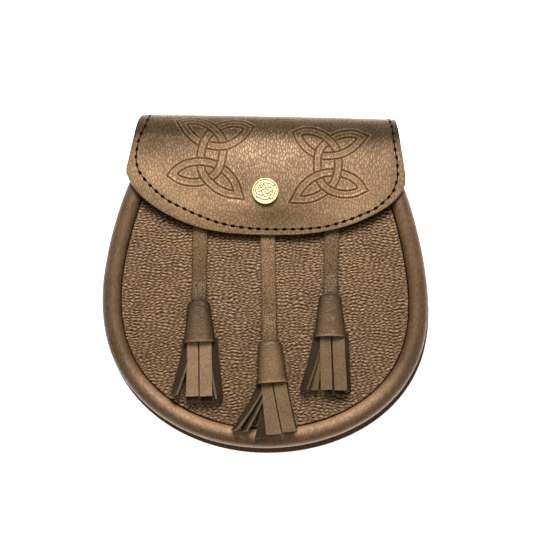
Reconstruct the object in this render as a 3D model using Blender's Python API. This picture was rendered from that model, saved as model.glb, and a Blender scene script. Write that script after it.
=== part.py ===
"""A sporran: a leather pouch worn at the front of a kilt.

It lies on its back. +Z points out of its front, +Y towards the fold of its flap and +X to the
right of someone who faces it. The origin is under the middle of it, on the surface it lies on.
All sizes below are in metres.
"""

from math import cos, hypot, pi, radians, sin

import bmesh
import bpy
from mathutils import Vector

MM = 0.001
GAP = 0.3 * MM              # left between neighbouring pieces

# ---- driving dimensions ----

# The pouch seen from the front: a rounded bag, widest below its middle.
HALF_WIDTH = 95.6 * MM      # of the edge roll, at its widest
WIDEST_Y = -14.2 * MM       # of its right side
LEFT_LIFT = 6.5 * MM        # the left side is this much fuller above and slimmer below
ROLL_BOTTOM_Y = -98.9 * MM
LOWER_POWER = 2.3           # 2 would be half an ellipse; more is squarer
UPPER_TAPER = 13.0 * MM     # how much narrower it is, UPPER_RISE above its widest place
UPPER_RISE = 65.7 * MM
UPPER_POWER = 1.7

# The belt loop lies under the back, and the pouch rests on it.
LOOP_THICK = 2.2 * MM
BELT_ROOM = 5.3 * MM        # height of the channel for a kilt belt
BELT_WIDTH = 60.0 * MM      # length of the channel's floor along Y
LOOP_RAMP = 6.0 * MM
LOOP_TAB = 12.0 * MM        # sewn to the back panel at either end
LOOP_WIDTH = 70.0 * MM
LOOP_Y = 5.0 * MM

# The leather of the pouch.
BACK_THICK = 2.2 * MM
BACK_PROUD = 1.5 * MM       # how far the back panel stands out past the roll
BACK_TOP_Y = 80.0 * MM
BACK_BEVEL = 0.5 * MM
BACK_Z = LOOP_THICK + BELT_ROOM + GAP
GUSSET_THICK = 1.8 * MM
GUSSET_BOW = 1.6 * MM       # the side wall folds inwards by this at half its height
GUSSET_TOP_Y = 77.5 * MM
PANEL_THICK = 2.0 * MM
PANEL_TOP_Y = 71.0 * MM
PANEL_RISE = 1.2 * MM       # its upper face at the rim, above the middle of the roll
PANEL_DOME = 2.2 * MM
PANEL_DOME_X = 84.0 * MM
PANEL_DOME_Y = 86.0 * MM
PANEL_MIDDLE_Y = -6.4 * MM
PANEL_RINGS = (1.0, 0.86, 0.64, 0.4, 0.18)      # shares of the way from its middle to its edge

# The padded roll round the front.
ROLL_RADIUS = 5.7 * MM
ROLL_Z = 30.0 * MM          # height of its middle
ROLL_END_Y = 74.5 * MM
ROLL_END_SIZES = (0.45, 0.85)   # shares of the full radius, at the first two rings of each end
ROLL_SINK = 3.0 * MM        # the pouch is thinner towards its mouth
ROLL_SINK_FROM_Y = 38.0 * MM
ROLL_SINK_OVER = 36.0 * MM

# The flap: a sheet sewn on behind, folded over the mouth.
FLAP_THICK = 2.2 * MM
FOLD_RADIUS = 15.5 * MM     # of the middle of the sheet
FOLD_Y = 83.8 * MM
FLAP_BACK_Y = 59.0 * MM     # where its rear leg ends
FLAP_X = -1.6 * MM          # the flap sits this far to the left
FOLD_HALF_WIDTH = 75.2 * MM
FLAP_HALF_WIDTH = 82.5 * MM
FLAP_WIDENS_OVER = 45.0 * MM
REAR_NARROWS = 0.1          # half width lost per length of the rear leg
FLAP_TIP_Y = 24.8 * MM
FLAP_SWEEP = 28.0 * MM      # how much higher the lower edge is at the sides
FLAP_SWEEP_POWER = 2.7
FLAP_CORNER = 6.0 * MM      # the rounding of its lower corners
FLAP_CORNER_POWER = 24
FLAP_SKEW = 2.0 * MM        # it hangs this much lower at its right corner, and higher at its left
FLAP_CROWN = 2.1 * MM       # the front leg rises by this to its crest
FLAP_CREST_Y = 55.0 * MM
FLAP_DROOP = 3.0 * MM       # its sides lie this much lower than its middle

# The brass stud on the flap.
STUD_RADIUS = 7.8 * MM
STUD_X = -0.9 * MM
STUD_Y = 50.05 * MM
STUD_FIELD = 1.5 * MM       # height of the sunk field
STUD_RIM_WIDTH = 1.1 * MM
STUD_RELIEF = 0.7 * MM      # how far the rim and the knot stand out of the field
STUD_SLOPE = 0.3 * MM       # the width over which they rise
STUD_SHOULDER = 0.6         # the rim's outer edge rises by this share of the relief
STUD_FOOT = 0.4 * MM        # the rounding of its lower edge
STUD_RING_STEP = 0.62 * MM
KNOT_LOOP_RADIUS = 2.7 * MM
KNOT_LOOP_OFFSET = 2.3 * MM
KNOT_BAND = 0.75 * MM

# The tassels.
STRAP_WIDTH = 8.8 * MM
STRAP_THICK = 1.8 * MM
STRAP_ROOT_Y = 37.0 * MM    # under the flap
STRAP_TUCK = 7.0 * MM       # how far its end goes into the cap
STRAP_RISE_SHARE = 0.3      # the share of its run in which it rises to the cap
CAP_WALL = 1.5 * MM
CAP_TOP_HEIGHT = 9.0 * MM
CAP_MOUTH_HEIGHT = 11.5 * MM
CAP_SHOULDER = 2.6 * MM
CAP_EDGE = 0.35 * MM        # the first ring below its top edge
CAP_EDGE_SIZE = 0.86
CAP_BELLY = 0.38            # its widest place, as a share of its height
CAP_ROUND_POWER = 0.68      # 1 would be an ellipse; less is squarer
CAP_FOOT_POWER = 0.45
SLOT_ROOM = 0.9 * MM        # round the strap where it enters the cap
SLOT_DROP = 0.5 * MM        # the slot lies this much below the cap's middle
HEAD_FROM = 0.45            # where the head starts and ends, as shares of the cap's length
HEAD_TO = 0.94
STRIP_WIDTH = 6.7 * MM
STRIP_THICK = 1.5 * MM
STRIP_BURIED = 3.0 * MM     # in the head
STRIP_SPREAD_POWER = 1.25   # above 1, a strip leaves the mouth straight and spreads lower down
STRIP_TURN_POWER = 1.6
STRIP_AHEAD = 4.5 * MM      # a stiff strip starts to rise this far before what it lies on rises

# One row for each tassel. lean turns it about +Z, so that its lower end swings to +X.
TASSELS = [
    dict(side="left", root_x=-39.3 * MM, cap_x=-38.2 * MM, cap_y=-15.0 * MM, lean=radians(2.0),
         length=24.2 * MM, top=6.4 * MM, mouth=9.8 * MM, mirror=1),
    dict(side="middle", root_x=0.4 * MM, cap_x=3.4 * MM, cap_y=-36.2 * MM, lean=radians(4.9),
         length=26.0 * MM, top=6.6 * MM, mouth=9.7 * MM, mirror=1),
    dict(side="right", root_x=38.4 * MM, cap_x=38.6 * MM, cap_y=-9.7 * MM, lean=radians(-0.6),
         length=24.4 * MM, top=6.3 * MM, mouth=9.5 * MM, mirror=-1),
]

# The strips of a tassel that hangs straight. x is across the tassel and z above what it lies on,
# first at the cap's mouth and then at the strip's tip. turn tilts the strip about its length.
STRAIGHT_STRIPS = [
    dict(x0=-3.7, z0=6.9, x1=-4.5, z1=6.2, turn0=0, turn1=3, length=30.6),
    dict(x0=3.6, z0=6.9, x1=3.4, z1=6.2, turn0=0, turn1=-3, length=30.8),
    dict(x0=-4.0, z0=4.9, x1=-12.0, z1=3.8, turn0=0, turn1=28, length=29.6),
    dict(x0=4.0, z0=4.9, x1=11.4, z1=3.8, turn0=0, turn1=-28, length=31.6),
    dict(x0=-3.5, z0=3.1, x1=-6.6, z1=1.3, turn0=0, turn1=4, length=32.4),
    dict(x0=3.5, z0=3.1, x1=5.2, z1=1.3, turn0=0, turn1=-3, length=33.2),
]

# The strips of the middle tassel, which has swung to the right and opened to the left.
OPEN_STRIPS = [
    dict(x0=-3.6, z0=6.9, x1=-2.2, z1=3.6, turn0=0, turn1=3, length=28.6),
    dict(x0=3.5, z0=6.9, x1=6.0, z1=3.6, turn0=0, turn1=-3, length=28.2),
    dict(x0=-4.0, z0=4.9, x1=-25.0, z1=3.6, turn0=0, turn1=35, length=26.0),
    dict(x0=4.0, z0=4.9, x1=4.8, z1=1.3, turn0=0, turn1=0, length=27.0),
    dict(x0=-3.5, z0=3.1, x1=-17.0, z1=2.8, turn0=0, turn1=26, length=26.0),
    dict(x0=3.5, z0=3.1, x1=-6.4, z1=1.1, turn0=0, turn1=4, length=30.0),
]

# ---- colours ----

LEATHER_FLAP = (0.36, 0.24, 0.15)
LEATHER_PANEL = (0.22, 0.14, 0.08)
LEATHER_ROLL = (0.18, 0.11, 0.07)
LEATHER_TASSEL = (0.20, 0.13, 0.08)
LEATHER_STRIP = (0.30, 0.20, 0.12)
LEATHER_BACK = (0.15, 0.09, 0.06)
BRASS = (0.85, 0.65, 0.30)


# ---- helpers ----

def material(name, colour, roughness, metallic=0.0):
    finish = bpy.data.materials.new(name)
    finish.use_nodes = True
    shader = finish.node_tree.nodes["Principled BSDF"]
    shader.inputs["Base Color"].default_value = (*colour, 1.0)
    shader.inputs["Roughness"].default_value = roughness
    shader.inputs["Metallic"].default_value = metallic
    return finish


def add_object(name, shape, finish, smooth=radians(35)):
    """Puts a bmesh into the scene as one named object with its own material."""
    bmesh.ops.recalc_face_normals(shape, faces=shape.faces)
    mesh = bpy.data.meshes.new(name)
    shape.to_mesh(mesh)
    shape.free()
    mesh.shade_smooth()
    mesh.set_sharp_from_angle(angle=smooth)
    mesh.materials.append(finish)
    piece = bpy.data.objects.new(name, mesh)
    bpy.context.scene.collection.objects.link(piece)
    return piece


def skin(rings, end_caps=True):
    """Joins rings of points, each as long as the next, into one closed surface."""
    shape = bmesh.new()
    loops = [[shape.verts.new(point) for point in ring] for ring in rings]
    pairs = list(zip(loops, loops[1:]))
    if not end_caps:
        pairs.append((loops[-1], loops[0]))
    for lower, upper in pairs:
        for i in range(len(lower)):
            j = (i + 1) % len(lower)
            shape.faces.new((lower[i], lower[j], upper[j], upper[i]))
    if end_caps:
        shape.faces.new(loops[0])
        shape.faces.new(loops[-1])
    return shape


def ease(t):
    """0 below 0, 1 above 1, and smooth between."""
    t = min(max(t, 0.0), 1.0)
    return t * t * (3.0 - 2.0 * t)


def mix(a, b, t):
    return a + (b - a) * t


# ---- the pouch's outline and heights ----

def half_outline(top_y, widest_y, steps=160):
    """Points of a right half, from the bottom middle up to top_y."""
    depth = widest_y - ROLL_BOTTOM_Y
    points = []
    for i in range(steps):
        angle = (1.0 - i / steps) * pi / 2.0
        points.append(Vector((HALF_WIDTH * cos(angle), widest_y - depth * sin(angle) ** (2.0 / LOWER_POWER))))
    for i in range(steps + 1):
        rise = (top_y - widest_y) * i / steps
        points.append(Vector((HALF_WIDTH - UPPER_TAPER * (rise / UPPER_RISE) ** UPPER_POWER, widest_y + rise)))
    return points


def outline(inset, top_y, count):
    """The U from the left end, round the bottom, to the right end: (point, outward normal) pairs.

    The points are evenly spaced, and inset moves them inwards from the roll's outer edge.
    """
    left = half_outline(top_y, WIDEST_Y + LEFT_LIFT)
    right = half_outline(top_y, WIDEST_Y)
    path = [Vector((-p.x, p.y)) for p in reversed(left)] + right[1:]
    travelled = [0.0]
    for before, after in zip(path, path[1:]):
        travelled.append(travelled[-1] + (after - before).length)
    result = []
    at = 0
    for i in range(count):
        wanted = travelled[-1] * i / (count - 1)
        while at < len(path) - 2 and travelled[at + 1] < wanted:
            at += 1
        span = travelled[at + 1] - travelled[at]
        point = path[at].lerp(path[at + 1], (wanted - travelled[at]) / span)
        ahead = path[min(at + 3, len(path) - 1)]
        behind = path[max(at - 2, 0)]
        along = (ahead - behind).normalized()
        outward = Vector((along.y, -along.x))
        result.append((point - outward * inset, outward))
    return result


def roll_z(y):
    """Height of the middle of the edge roll."""
    return ROLL_Z - ROLL_SINK * ease((y - ROLL_SINK_FROM_Y) / ROLL_SINK_OVER)


def panel_top(x, y):
    """Height of the front panel's upper face."""
    across = max(0.0, 1.0 - (x / PANEL_DOME_X) ** 2)
    along = max(0.0, 1.0 - ((y - PANEL_MIDDLE_Y) / PANEL_DOME_Y) ** 2)
    return roll_z(y) + PANEL_RISE + PANEL_DOME * across * along


# ---- the pieces ----

def make_belt_loop(finish):
    """One strip across the back. Its middle hangs away from the pouch, for the belt."""
    half = BELT_WIDTH / 2.0
    lift = BELT_ROOM - LOOP_THICK
    path = [
        (-half - LOOP_RAMP - LOOP_TAB, lift), (-half - LOOP_RAMP, lift), (-half, -LOOP_THICK),
        (half, -LOOP_THICK), (half + LOOP_RAMP, lift), (half + LOOP_RAMP + LOOP_TAB, lift),
    ]
    lower = [Vector((y, z + LOOP_THICK)) for y, z in path]
    upper = [point + Vector((0.0, LOOP_THICK)) for point in lower]
    rings = []
    for x in (-LOOP_WIDTH / 2.0, LOOP_WIDTH / 2.0):
        rings.append([(x, LOOP_Y + p.x, p.y) for p in lower + upper[::-1]])
    return add_object("belt_loop", skin(rings), finish)


def make_back_panel(finish):
    edge = [point for point, _ in outline(-BACK_PROUD, BACK_TOP_Y, 72)]
    rings = [[(p.x, p.y, z) for p in edge] for z in (BACK_Z, BACK_Z + BACK_THICK)]
    panel = add_object("back_panel", skin(rings), finish)
    bevel = panel.modifiers.new("rounded_edge", "BEVEL")
    bevel.width = BACK_BEVEL
    bevel.segments = 1
    return panel


def make_gusset(finish):
    """The side wall: it stands on the back panel, under the middle of the roll."""
    foot = BACK_Z + BACK_THICK + GAP
    rings = []
    for (point, outward) in outline(ROLL_RADIUS, GUSSET_TOP_Y, 60):
        head = roll_z(point.y) - ROLL_RADIUS - GAP
        ring = []
        for side, heights in ((0.5, (0.0, 0.5, 1.0)), (-0.5, (1.0, 0.5, 0.0))):
            for share in heights:
                bow = GUSSET_BOW * 4.0 * share * (1.0 - share)
                place = point + outward * (side * GUSSET_THICK - bow)
                ring.append((place.x, place.y, mix(foot, head, share)))
        rings.append(ring)
    return add_object("gusset", skin(rings), finish)


def make_edge_roll(finish):
    sides = 12
    path = outline(ROLL_RADIUS, ROLL_END_Y, 68)
    end_size = dict(enumerate(ROLL_END_SIZES))
    rings = []
    for i, (point, outward) in enumerate(path):
        radius = ROLL_RADIUS * end_size.get(min(i, len(path) - 1 - i), 1.0)
        ring = []
        for j in range(sides):
            angle = 2.0 * pi * j / sides
            place = point + outward * (radius * cos(angle))
            ring.append((place.x, place.y, roll_z(point.y) + radius * sin(angle)))
        rings.append(ring)
    return add_object("edge_roll", skin(rings), finish, radians(60))


def make_front_panel(finish):
    """A domed sheet inside the roll, made of rings that shrink to its middle."""
    edge = [point for point, _ in outline(2.0 * ROLL_RADIUS + GAP, PANEL_TOP_Y, 60)]
    middle = Vector((0.0, PANEL_MIDDLE_Y))
    shape = bmesh.new()
    sheets = []
    for drop in (0.0, PANEL_THICK):
        loops = []
        for share in PANEL_RINGS:
            places = [middle.lerp(p, share) for p in edge]
            loops.append([shape.verts.new((p.x, p.y, panel_top(p.x, p.y) - drop)) for p in places])
        tip = shape.verts.new((middle.x, middle.y, panel_top(middle.x, middle.y) - drop))
        for outer, inner in zip(loops, loops[1:]):
            for i in range(len(outer)):
                j = (i + 1) % len(outer)
                shape.faces.new((outer[i], outer[j], inner[j], inner[i]))
        for i in range(len(edge)):
            shape.faces.new((loops[-1][i], loops[-1][(i + 1) % len(edge)], tip))
        sheets.append(loops[0])
    for i in range(len(edge)):
        j = (i + 1) % len(edge)
        shape.faces.new((sheets[0][i], sheets[0][j], sheets[1][j], sheets[1][i]))
    return add_object("front_panel", shape, finish)


def flap_lower_y(u):
    """The lower edge of the flap, u from -1 at its left side to 1 at its right."""
    side = abs(u)
    return (FLAP_TIP_Y + FLAP_SWEEP * side ** FLAP_SWEEP_POWER + FLAP_CORNER * side ** FLAP_CORNER_POWER
            - FLAP_SKEW * u ** 3)


def flap_row(share, u):
    """A point of the sheet's middle and the sheet's normal there.

    share runs from 0 at the rear end, through 1 and 2 at the ends of the fold, to 3 at the tip.
    """
    rear_z = BACK_Z - GAP - FLAP_THICK / 2.0
    if share <= 1.0:
        y = mix(FLAP_BACK_Y, FOLD_Y, share)
        away = FOLD_RADIUS * pi / 2.0 + FOLD_Y - y
        wide = FOLD_HALF_WIDTH - REAR_NARROWS * away
        return Vector((FLAP_X + u * wide, y, rear_z)), Vector((0.0, 0.0, -1.0))
    if share <= 2.0:
        angle = (share - 1.5) * pi
        y = FOLD_Y + FOLD_RADIUS * cos(angle)
        z = rear_z + FOLD_RADIUS * (1.0 + sin(angle))
        away = FOLD_RADIUS * angle
        widening = (FLAP_HALF_WIDTH - FOLD_HALF_WIDTH) / FLAP_WIDENS_OVER
        wide = FOLD_HALF_WIDTH + (widening if away > 0 else REAR_NARROWS) * away
        droop = FLAP_DROOP * ease(angle / pi + 0.5) * abs(u) ** 3
        return Vector((FLAP_X + u * wide, y, z - droop)), Vector((0.0, cos(angle), sin(angle)))
    y = mix(FOLD_Y, flap_lower_y(u), share - 2.0)
    away = FOLD_RADIUS * pi / 2.0 + FOLD_Y - y
    wide = mix(FOLD_HALF_WIDTH, FLAP_HALF_WIDTH, min(1.0, away / FLAP_WIDENS_OVER))
    reach = (y - FLAP_CREST_Y) / (FOLD_Y - FLAP_CREST_Y)
    z = rear_z + 2.0 * FOLD_RADIUS + FLAP_CROWN * (1.0 - reach * reach) - FLAP_DROOP * abs(u) ** 3
    slope = 2.0 * FLAP_CROWN * reach / (FOLD_Y - FLAP_CREST_Y)
    return Vector((FLAP_X + u * wide, y, z)), Vector((0.0, slope, 1.0)).normalized()


def make_flap(finish):
    columns = 26
    rows = [0.0, 0.5] + [1.0 + i / 10.0 for i in range(10)] + [2.0 + (i / 9.0) ** 0.9 for i in range(10)]
    rings = []
    for share in rows:
        outer = []
        inner = []
        for i in range(columns + 1):
            u = sin((i / columns - 0.5) * pi)
            middle, normal = flap_row(share, u)
            outer.append(middle + normal * (FLAP_THICK / 2.0))
            inner.append(middle - normal * (FLAP_THICK / 2.0))
        rings.append(outer + inner[::-1])
    shape = skin(rings, end_caps=False)
    # The loop above joins the tip to the rear end; those faces go, and each end gets a strip.
    shape.faces.ensure_lookup_table()
    bmesh.ops.delete(shape, geom=shape.faces[-len(rings[0]):], context="FACES_ONLY")
    shape.verts.ensure_lookup_table()
    width = len(rings[0])
    for first in (0, width * (len(rings) - 1)):
        ring = [shape.verts[first + i] for i in range(width)]
        for i in range(columns):
            shape.faces.new((ring[i], ring[i + 1], ring[width - 2 - i], ring[width - 1 - i]))
    return add_object("flap", shape, finish)


def flap_top(y):
    """Height of the flap's outer face on its middle line."""
    middle, _ = flap_row(2.0 + (FOLD_Y - y) / (FOLD_Y - FLAP_TIP_Y), 0.0)
    return middle.z + FLAP_THICK / 2.0


def stud_height(x, y):
    """The stud's relief: a raised rim, and four raised rings that cross like a knot."""
    radius = hypot(x, y)
    raised = ease((radius - STUD_RADIUS + STUD_RIM_WIDTH) / STUD_SLOPE)
    for quarter in range(4):
        turn = pi / 2.0 * quarter
        from_loop = hypot(x - KNOT_LOOP_OFFSET * cos(turn), y - KNOT_LOOP_OFFSET * sin(turn))
        from_band = abs(from_loop - KNOT_LOOP_RADIUS)
        raised = max(raised, 1.0 - ease((from_band - KNOT_BAND / 2.0) / STUD_SLOPE))
    return STUD_FIELD + STUD_RELIEF * raised


def make_stud(finish):
    sides = 48
    base = flap_top(STUD_Y) + GAP
    rim = STUD_RADIUS - STUD_RIM_WIDTH
    radii = [STUD_RING_STEP * i for i in range(1, 11)] + [rim, rim + STUD_SLOPE, STUD_RADIUS - STUD_SLOPE]
    shape = bmesh.new()

    def loop(radius, height):
        points = [(radius * cos(2 * pi * i / sides), radius * sin(2 * pi * i / sides)) for i in range(sides)]
        return [shape.verts.new((STUD_X + x, STUD_Y + y, base + height(x, y))) for x, y in points]

    loops = [loop(radius, stud_height) for radius in radii]
    loops.append(loop(STUD_RADIUS, lambda x, y: STUD_FIELD + STUD_SHOULDER * STUD_RELIEF))
    loops.append(loop(STUD_RADIUS, lambda x, y: STUD_FOOT))
    loops.append(loop(STUD_RADIUS - STUD_FOOT, lambda x, y: 0.0))
    tip = shape.verts.new((STUD_X, STUD_Y, base + stud_height(0.0, 0.0)))
    for inner, outer in zip(loops, loops[1:]):
        for i in range(sides):
            j = (i + 1) % sides
            shape.faces.new((inner[i], inner[j], outer[j], outer[i]))
    for i in range(sides):
        shape.faces.new((tip, loops[0][(i + 1) % sides], loops[0][i]))
    shape.faces.new(loops[-1])
    return add_object("stud", shape, finish)


# ---- the tassels ----

def tassel_point(row, across, down):
    """A place on the tassel, from the top of its cap: down its length, and across it."""
    lean = row["lean"]
    return Vector((row["cap_x"] + across * cos(lean) + down * sin(lean),
                   row["cap_y"] - down * cos(lean) + across * sin(lean)))


def roll_top(x, y):
    """Height of the roll's upper face at a place near the bottom, or 0 away from it."""
    best = 0.0
    for point, _ in ROLL_PATH:
        away = hypot(x - point.x, y - point.y)
        if away < ROLL_RADIUS:
            best = max(best, ROLL_Z + (ROLL_RADIUS ** 2 - away ** 2) ** 0.5)
    return best


def ground(row, across, down, reach):
    """The highest place that a piece of the tassel as wide as 2 * reach has under it."""
    heights = []
    for side in (-reach, 0.0, reach):
        place = tassel_point(row, across + side, down)
        heights.append(max(panel_top(place.x, place.y), roll_top(place.x, place.y)))
    return max(heights) + GAP


def cap_section(row, share, wall):
    """Half width and height of the cap's outside, less the wall, share of the way down."""
    half = mix(row["top"], row["mouth"], share) - wall
    tall = mix(CAP_TOP_HEIGHT, CAP_MOUTH_HEIGHT, share) - 2.0 * wall
    return half, tall


def d_ring(row, down, half, low, tall, sides=20):
    """A flattened ring across the tassel: flat below, where it lies, and round above."""
    ring = []
    belly = low + CAP_BELLY * tall
    for i in range(sides):
        angle = 2.0 * pi * i / sides
        power = CAP_ROUND_POWER if sin(angle) > 0.0 else CAP_FOOT_POWER
        reach = tall - (belly - low) if sin(angle) > 0.0 else belly - low
        x = half * abs(cos(angle)) ** power * (1.0 if cos(angle) > 0.0 else -1.0)
        z = belly + reach * abs(sin(angle)) ** power * (1.0 if sin(angle) > 0.0 else -1.0)
        place = tassel_point(row, x, down)
        ring.append((place.x, place.y, z))
    return ring


def slot_z(row):
    """Height of the middle of the strap where it enters the cap."""
    return ground(row, 0.0, 0.0, row["top"]) + 0.5 * CAP_TOP_HEIGHT - SLOT_DROP


def make_cap(row, finish):
    """A leather wrap: a hollow cone with a slot for the strap above and open below."""
    length = row["length"]
    slot_half = STRAP_WIDTH / 2.0 + SLOT_ROOM
    slot_tall = STRAP_THICK + 2.0 * SLOT_ROOM
    slot_low = slot_z(row) - slot_tall / 2.0
    rings = [d_ring(row, 0.0, slot_half, slot_low, slot_tall)]
    stations = [(CAP_EDGE, CAP_EDGE_SIZE), (CAP_SHOULDER, 1.0), (0.4 * length, 1.0), (0.75 * length, 1.0), (length, 1.0)]
    for wall, places in ((0.0, stations), (CAP_WALL, stations[:0:-1])):
        for down, size in places:
            half, tall = cap_section(row, down / length, wall)
            low = ground(row, 0.0, down, row["mouth"]) + wall + (1.0 - size) * tall / 2.0
            rings.append(d_ring(row, down, half * size, low, tall * size))
    rings.append(d_ring(row, CAP_WALL, slot_half, slot_low, slot_tall))
    return add_object("tassel_cap_" + row["side"], skin(rings, end_caps=False), finish, radians(50))


def make_strap(row, finish):
    """Lies on the panel from under the flap, and rises into the slot of the cap."""
    root = Vector((row["root_x"], STRAP_ROOT_Y))
    top = tassel_point(row, 0.0, 0.0)
    end = tassel_point(row, 0.0, STRAP_TUCK)
    run = (root - top).length
    places = [root.lerp(top, i / 8.0) for i in range(9)] + [top.lerp(end, 0.5), end]
    rings = []
    for place in places:
        side = Vector((cos(row["lean"]), sin(row["lean"]))) * (STRAP_WIDTH / 2.0)
        lying = max(panel_top(p.x, p.y) for p in (place - side, place, place + side)) + GAP + STRAP_THICK / 2.0
        rise = 1.0 if place.y <= top.y else ease(1.0 - (place - top).length / (STRAP_RISE_SHARE * run))
        middle = mix(lying, slot_z(row), rise)
        ring = []
        for across, up in ((-1, -1), (1, -1), (1, 1), (-1, 1)):
            at = place + side * across
            ring.append((at.x, at.y, middle + up * STRAP_THICK / 2.0))
        rings.append(ring)
    return add_object("tassel_strap_" + row["side"], skin(rings), finish)


def make_strip(row, strip, number, cutters):
    """One leather strip, from inside the head to its tip. It is fused to the head."""
    steps = 6
    length = strip["length"] * MM
    mirror = row["mirror"]
    rings = []
    for i in range(steps + 1):
        share = i / steps
        past = mix(-STRIP_BURIED, length, share)
        spread = max(0.0, past / length)
        across = mirror * mix(strip["x0"], strip["x1"], spread ** STRIP_SPREAD_POWER) * MM
        turn = radians(mirror * mix(strip["turn0"], strip["turn1"], spread ** STRIP_TURN_POWER))
        down = row["length"] + past
        here = max(ground(row, across, down + ahead, STRIP_WIDTH / 2.0) for ahead in (0.0, STRIP_AHEAD))
        start = ground(row, 0.0, row["length"], row["mouth"]) + strip["z0"] * MM
        middle = mix(start, here + strip["z1"] * MM, ease(spread))
        middle = max(middle, here + (STRIP_THICK * cos(turn) + STRIP_WIDTH * abs(sin(turn))) / 2.0)
        ring = []
        for side, up in ((-1, -1), (1, -1), (1, 1), (-1, 1)):
            wide = side * STRIP_WIDTH / 2.0
            thick = up * STRIP_THICK / 2.0
            at = tassel_point(row, across + wide * cos(turn) - thick * sin(turn), down)
            ring.append((at.x, at.y, middle + wide * sin(turn) + thick * cos(turn)))
        rings.append(ring)
    piece = add_object(f"strip_{row['side']}_{number}", skin(rings), cutters["finish"])
    piece.hide_render = True
    piece.display_type = "WIRE"
    bpy.context.scene.collection.objects.unlink(piece)
    cutters["collection"].objects.link(piece)


def make_fringe(row, finish):
    """A head that fills the cap's mouth, with the strips fused to it by a Boolean union."""
    strips = OPEN_STRIPS if row["side"] == "middle" else STRAIGHT_STRIPS
    length = row["length"]
    rings = []
    for share in (HEAD_FROM, HEAD_TO):
        half, tall = cap_section(row, share, CAP_WALL + GAP)
        low = ground(row, 0.0, share * length, row["mouth"]) + CAP_WALL + GAP
        rings.append(d_ring(row, share * length, half, low, tall))
    head = add_object("tassel_fringe_" + row["side"], skin(rings), finish)
    group = bpy.data.collections.new("strips_" + row["side"])
    bpy.context.scene.collection.children.link(group)
    for number, strip in enumerate(strips):
        make_strip(row, strip, number, dict(finish=finish, collection=group))
    union = head.modifiers.new("strips", "BOOLEAN")
    union.operation = "UNION"
    union.operand_type = "COLLECTION"
    union.collection = group
    union.solver = "EXACT"
    return head


ROLL_PATH = outline(ROLL_RADIUS, ROLL_END_Y, 500)


def main():
    for piece in list(bpy.data.objects):
        bpy.data.objects.remove(piece, do_unlink=True)
    make_belt_loop(material("belt_loop_leather", LEATHER_BACK, 0.6))
    make_back_panel(material("back_leather", LEATHER_BACK, 0.6))
    make_gusset(material("gusset_leather", LEATHER_BACK, 0.6))
    make_edge_roll(material("roll_leather", LEATHER_ROLL, 0.45))
    make_front_panel(material("grained_panel_leather", LEATHER_PANEL, 0.55))
    make_flap(material("flap_leather", LEATHER_FLAP, 0.4))
    make_stud(material("brass", BRASS, 0.25, 1.0))
    for row in TASSELS:
        side = row["side"]
        make_strap(row, material("strap_leather_" + side, LEATHER_TASSEL, 0.5))
        make_cap(row, material("cap_leather_" + side, LEATHER_TASSEL, 0.5))
        make_fringe(row, material("strip_leather_" + side, LEATHER_STRIP, 0.6))


main()
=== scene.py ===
# %% [markdown]
# # A sporran pouch in leather and brass
# A sporran is the pouch worn in front of a kilt. The plain CAD pieces come first, as a fixed
# frame. Then each one gets the surface that the real one has: tooled leather, pebbled grain,
# stitches, cut edges and a struck brass stud. Everything is in metres, in the frame of the CAD.

# %% Load the CAD frame
from math import cos, pi, radians, sin

import bpy
import numpy as np
from mathutils import Matrix, Vector, noise


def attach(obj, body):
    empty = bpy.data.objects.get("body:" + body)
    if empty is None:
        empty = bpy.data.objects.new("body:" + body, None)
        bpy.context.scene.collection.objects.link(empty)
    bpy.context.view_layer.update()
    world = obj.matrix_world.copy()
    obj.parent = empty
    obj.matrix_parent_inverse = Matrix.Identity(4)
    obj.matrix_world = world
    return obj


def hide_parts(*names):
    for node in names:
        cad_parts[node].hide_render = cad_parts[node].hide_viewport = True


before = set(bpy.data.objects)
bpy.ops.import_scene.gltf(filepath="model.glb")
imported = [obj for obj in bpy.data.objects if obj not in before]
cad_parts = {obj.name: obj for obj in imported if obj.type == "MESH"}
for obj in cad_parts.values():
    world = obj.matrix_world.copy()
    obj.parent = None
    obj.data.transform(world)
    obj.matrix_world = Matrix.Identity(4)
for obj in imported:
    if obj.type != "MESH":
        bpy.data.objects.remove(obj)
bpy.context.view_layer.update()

MM = 0.001
print("CAD nodes:", sorted(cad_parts))

# %% [markdown]
# ## Small helpers
# Blender's tools act on what is selected, and the frame arrives selected. So each step first
# selects its own object alone. A piece starts as a flat grid or an open tube. Its points are
# then moved to their places, and modifiers give it thickness and rounded edges.

# %% Helpers for modelling
def only(piece):
    """Selects this object alone and makes it the active one."""
    bpy.ops.object.select_all(action="DESELECT")
    piece.select_set(True)
    bpy.context.view_layer.objects.active = piece


def choose_faces(piece, wanted):
    """Opens the piece in edit mode with only these faces selected: one True or False for each.

    A new primitive is selected all over, and points that stay selected would select every face
    again. So everything is deselected in face mode before the wanted faces are marked.
    """
    only(piece)
    bpy.ops.object.mode_set(mode="EDIT")
    bpy.ops.mesh.select_mode(type="FACE")
    bpy.ops.mesh.select_all(action="DESELECT")
    bpy.ops.object.mode_set(mode="OBJECT")
    piece.data.polygons.foreach_set("select", np.asarray(wanted, dtype=bool))
    bpy.ops.object.mode_set(mode="EDIT")


def named(name):
    """Names the object that a tool has just made."""
    piece = bpy.context.object
    piece.name = name
    piece.data.name = name
    return piece


def flat_grid(name, across, along):
    """A flat grid of faces, from -1 to 1 in x and y."""
    bpy.ops.object.select_all(action="DESELECT")
    bpy.ops.mesh.primitive_grid_add(x_subdivisions=across, y_subdivisions=along, size=2.0)
    return named(name)


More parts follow.
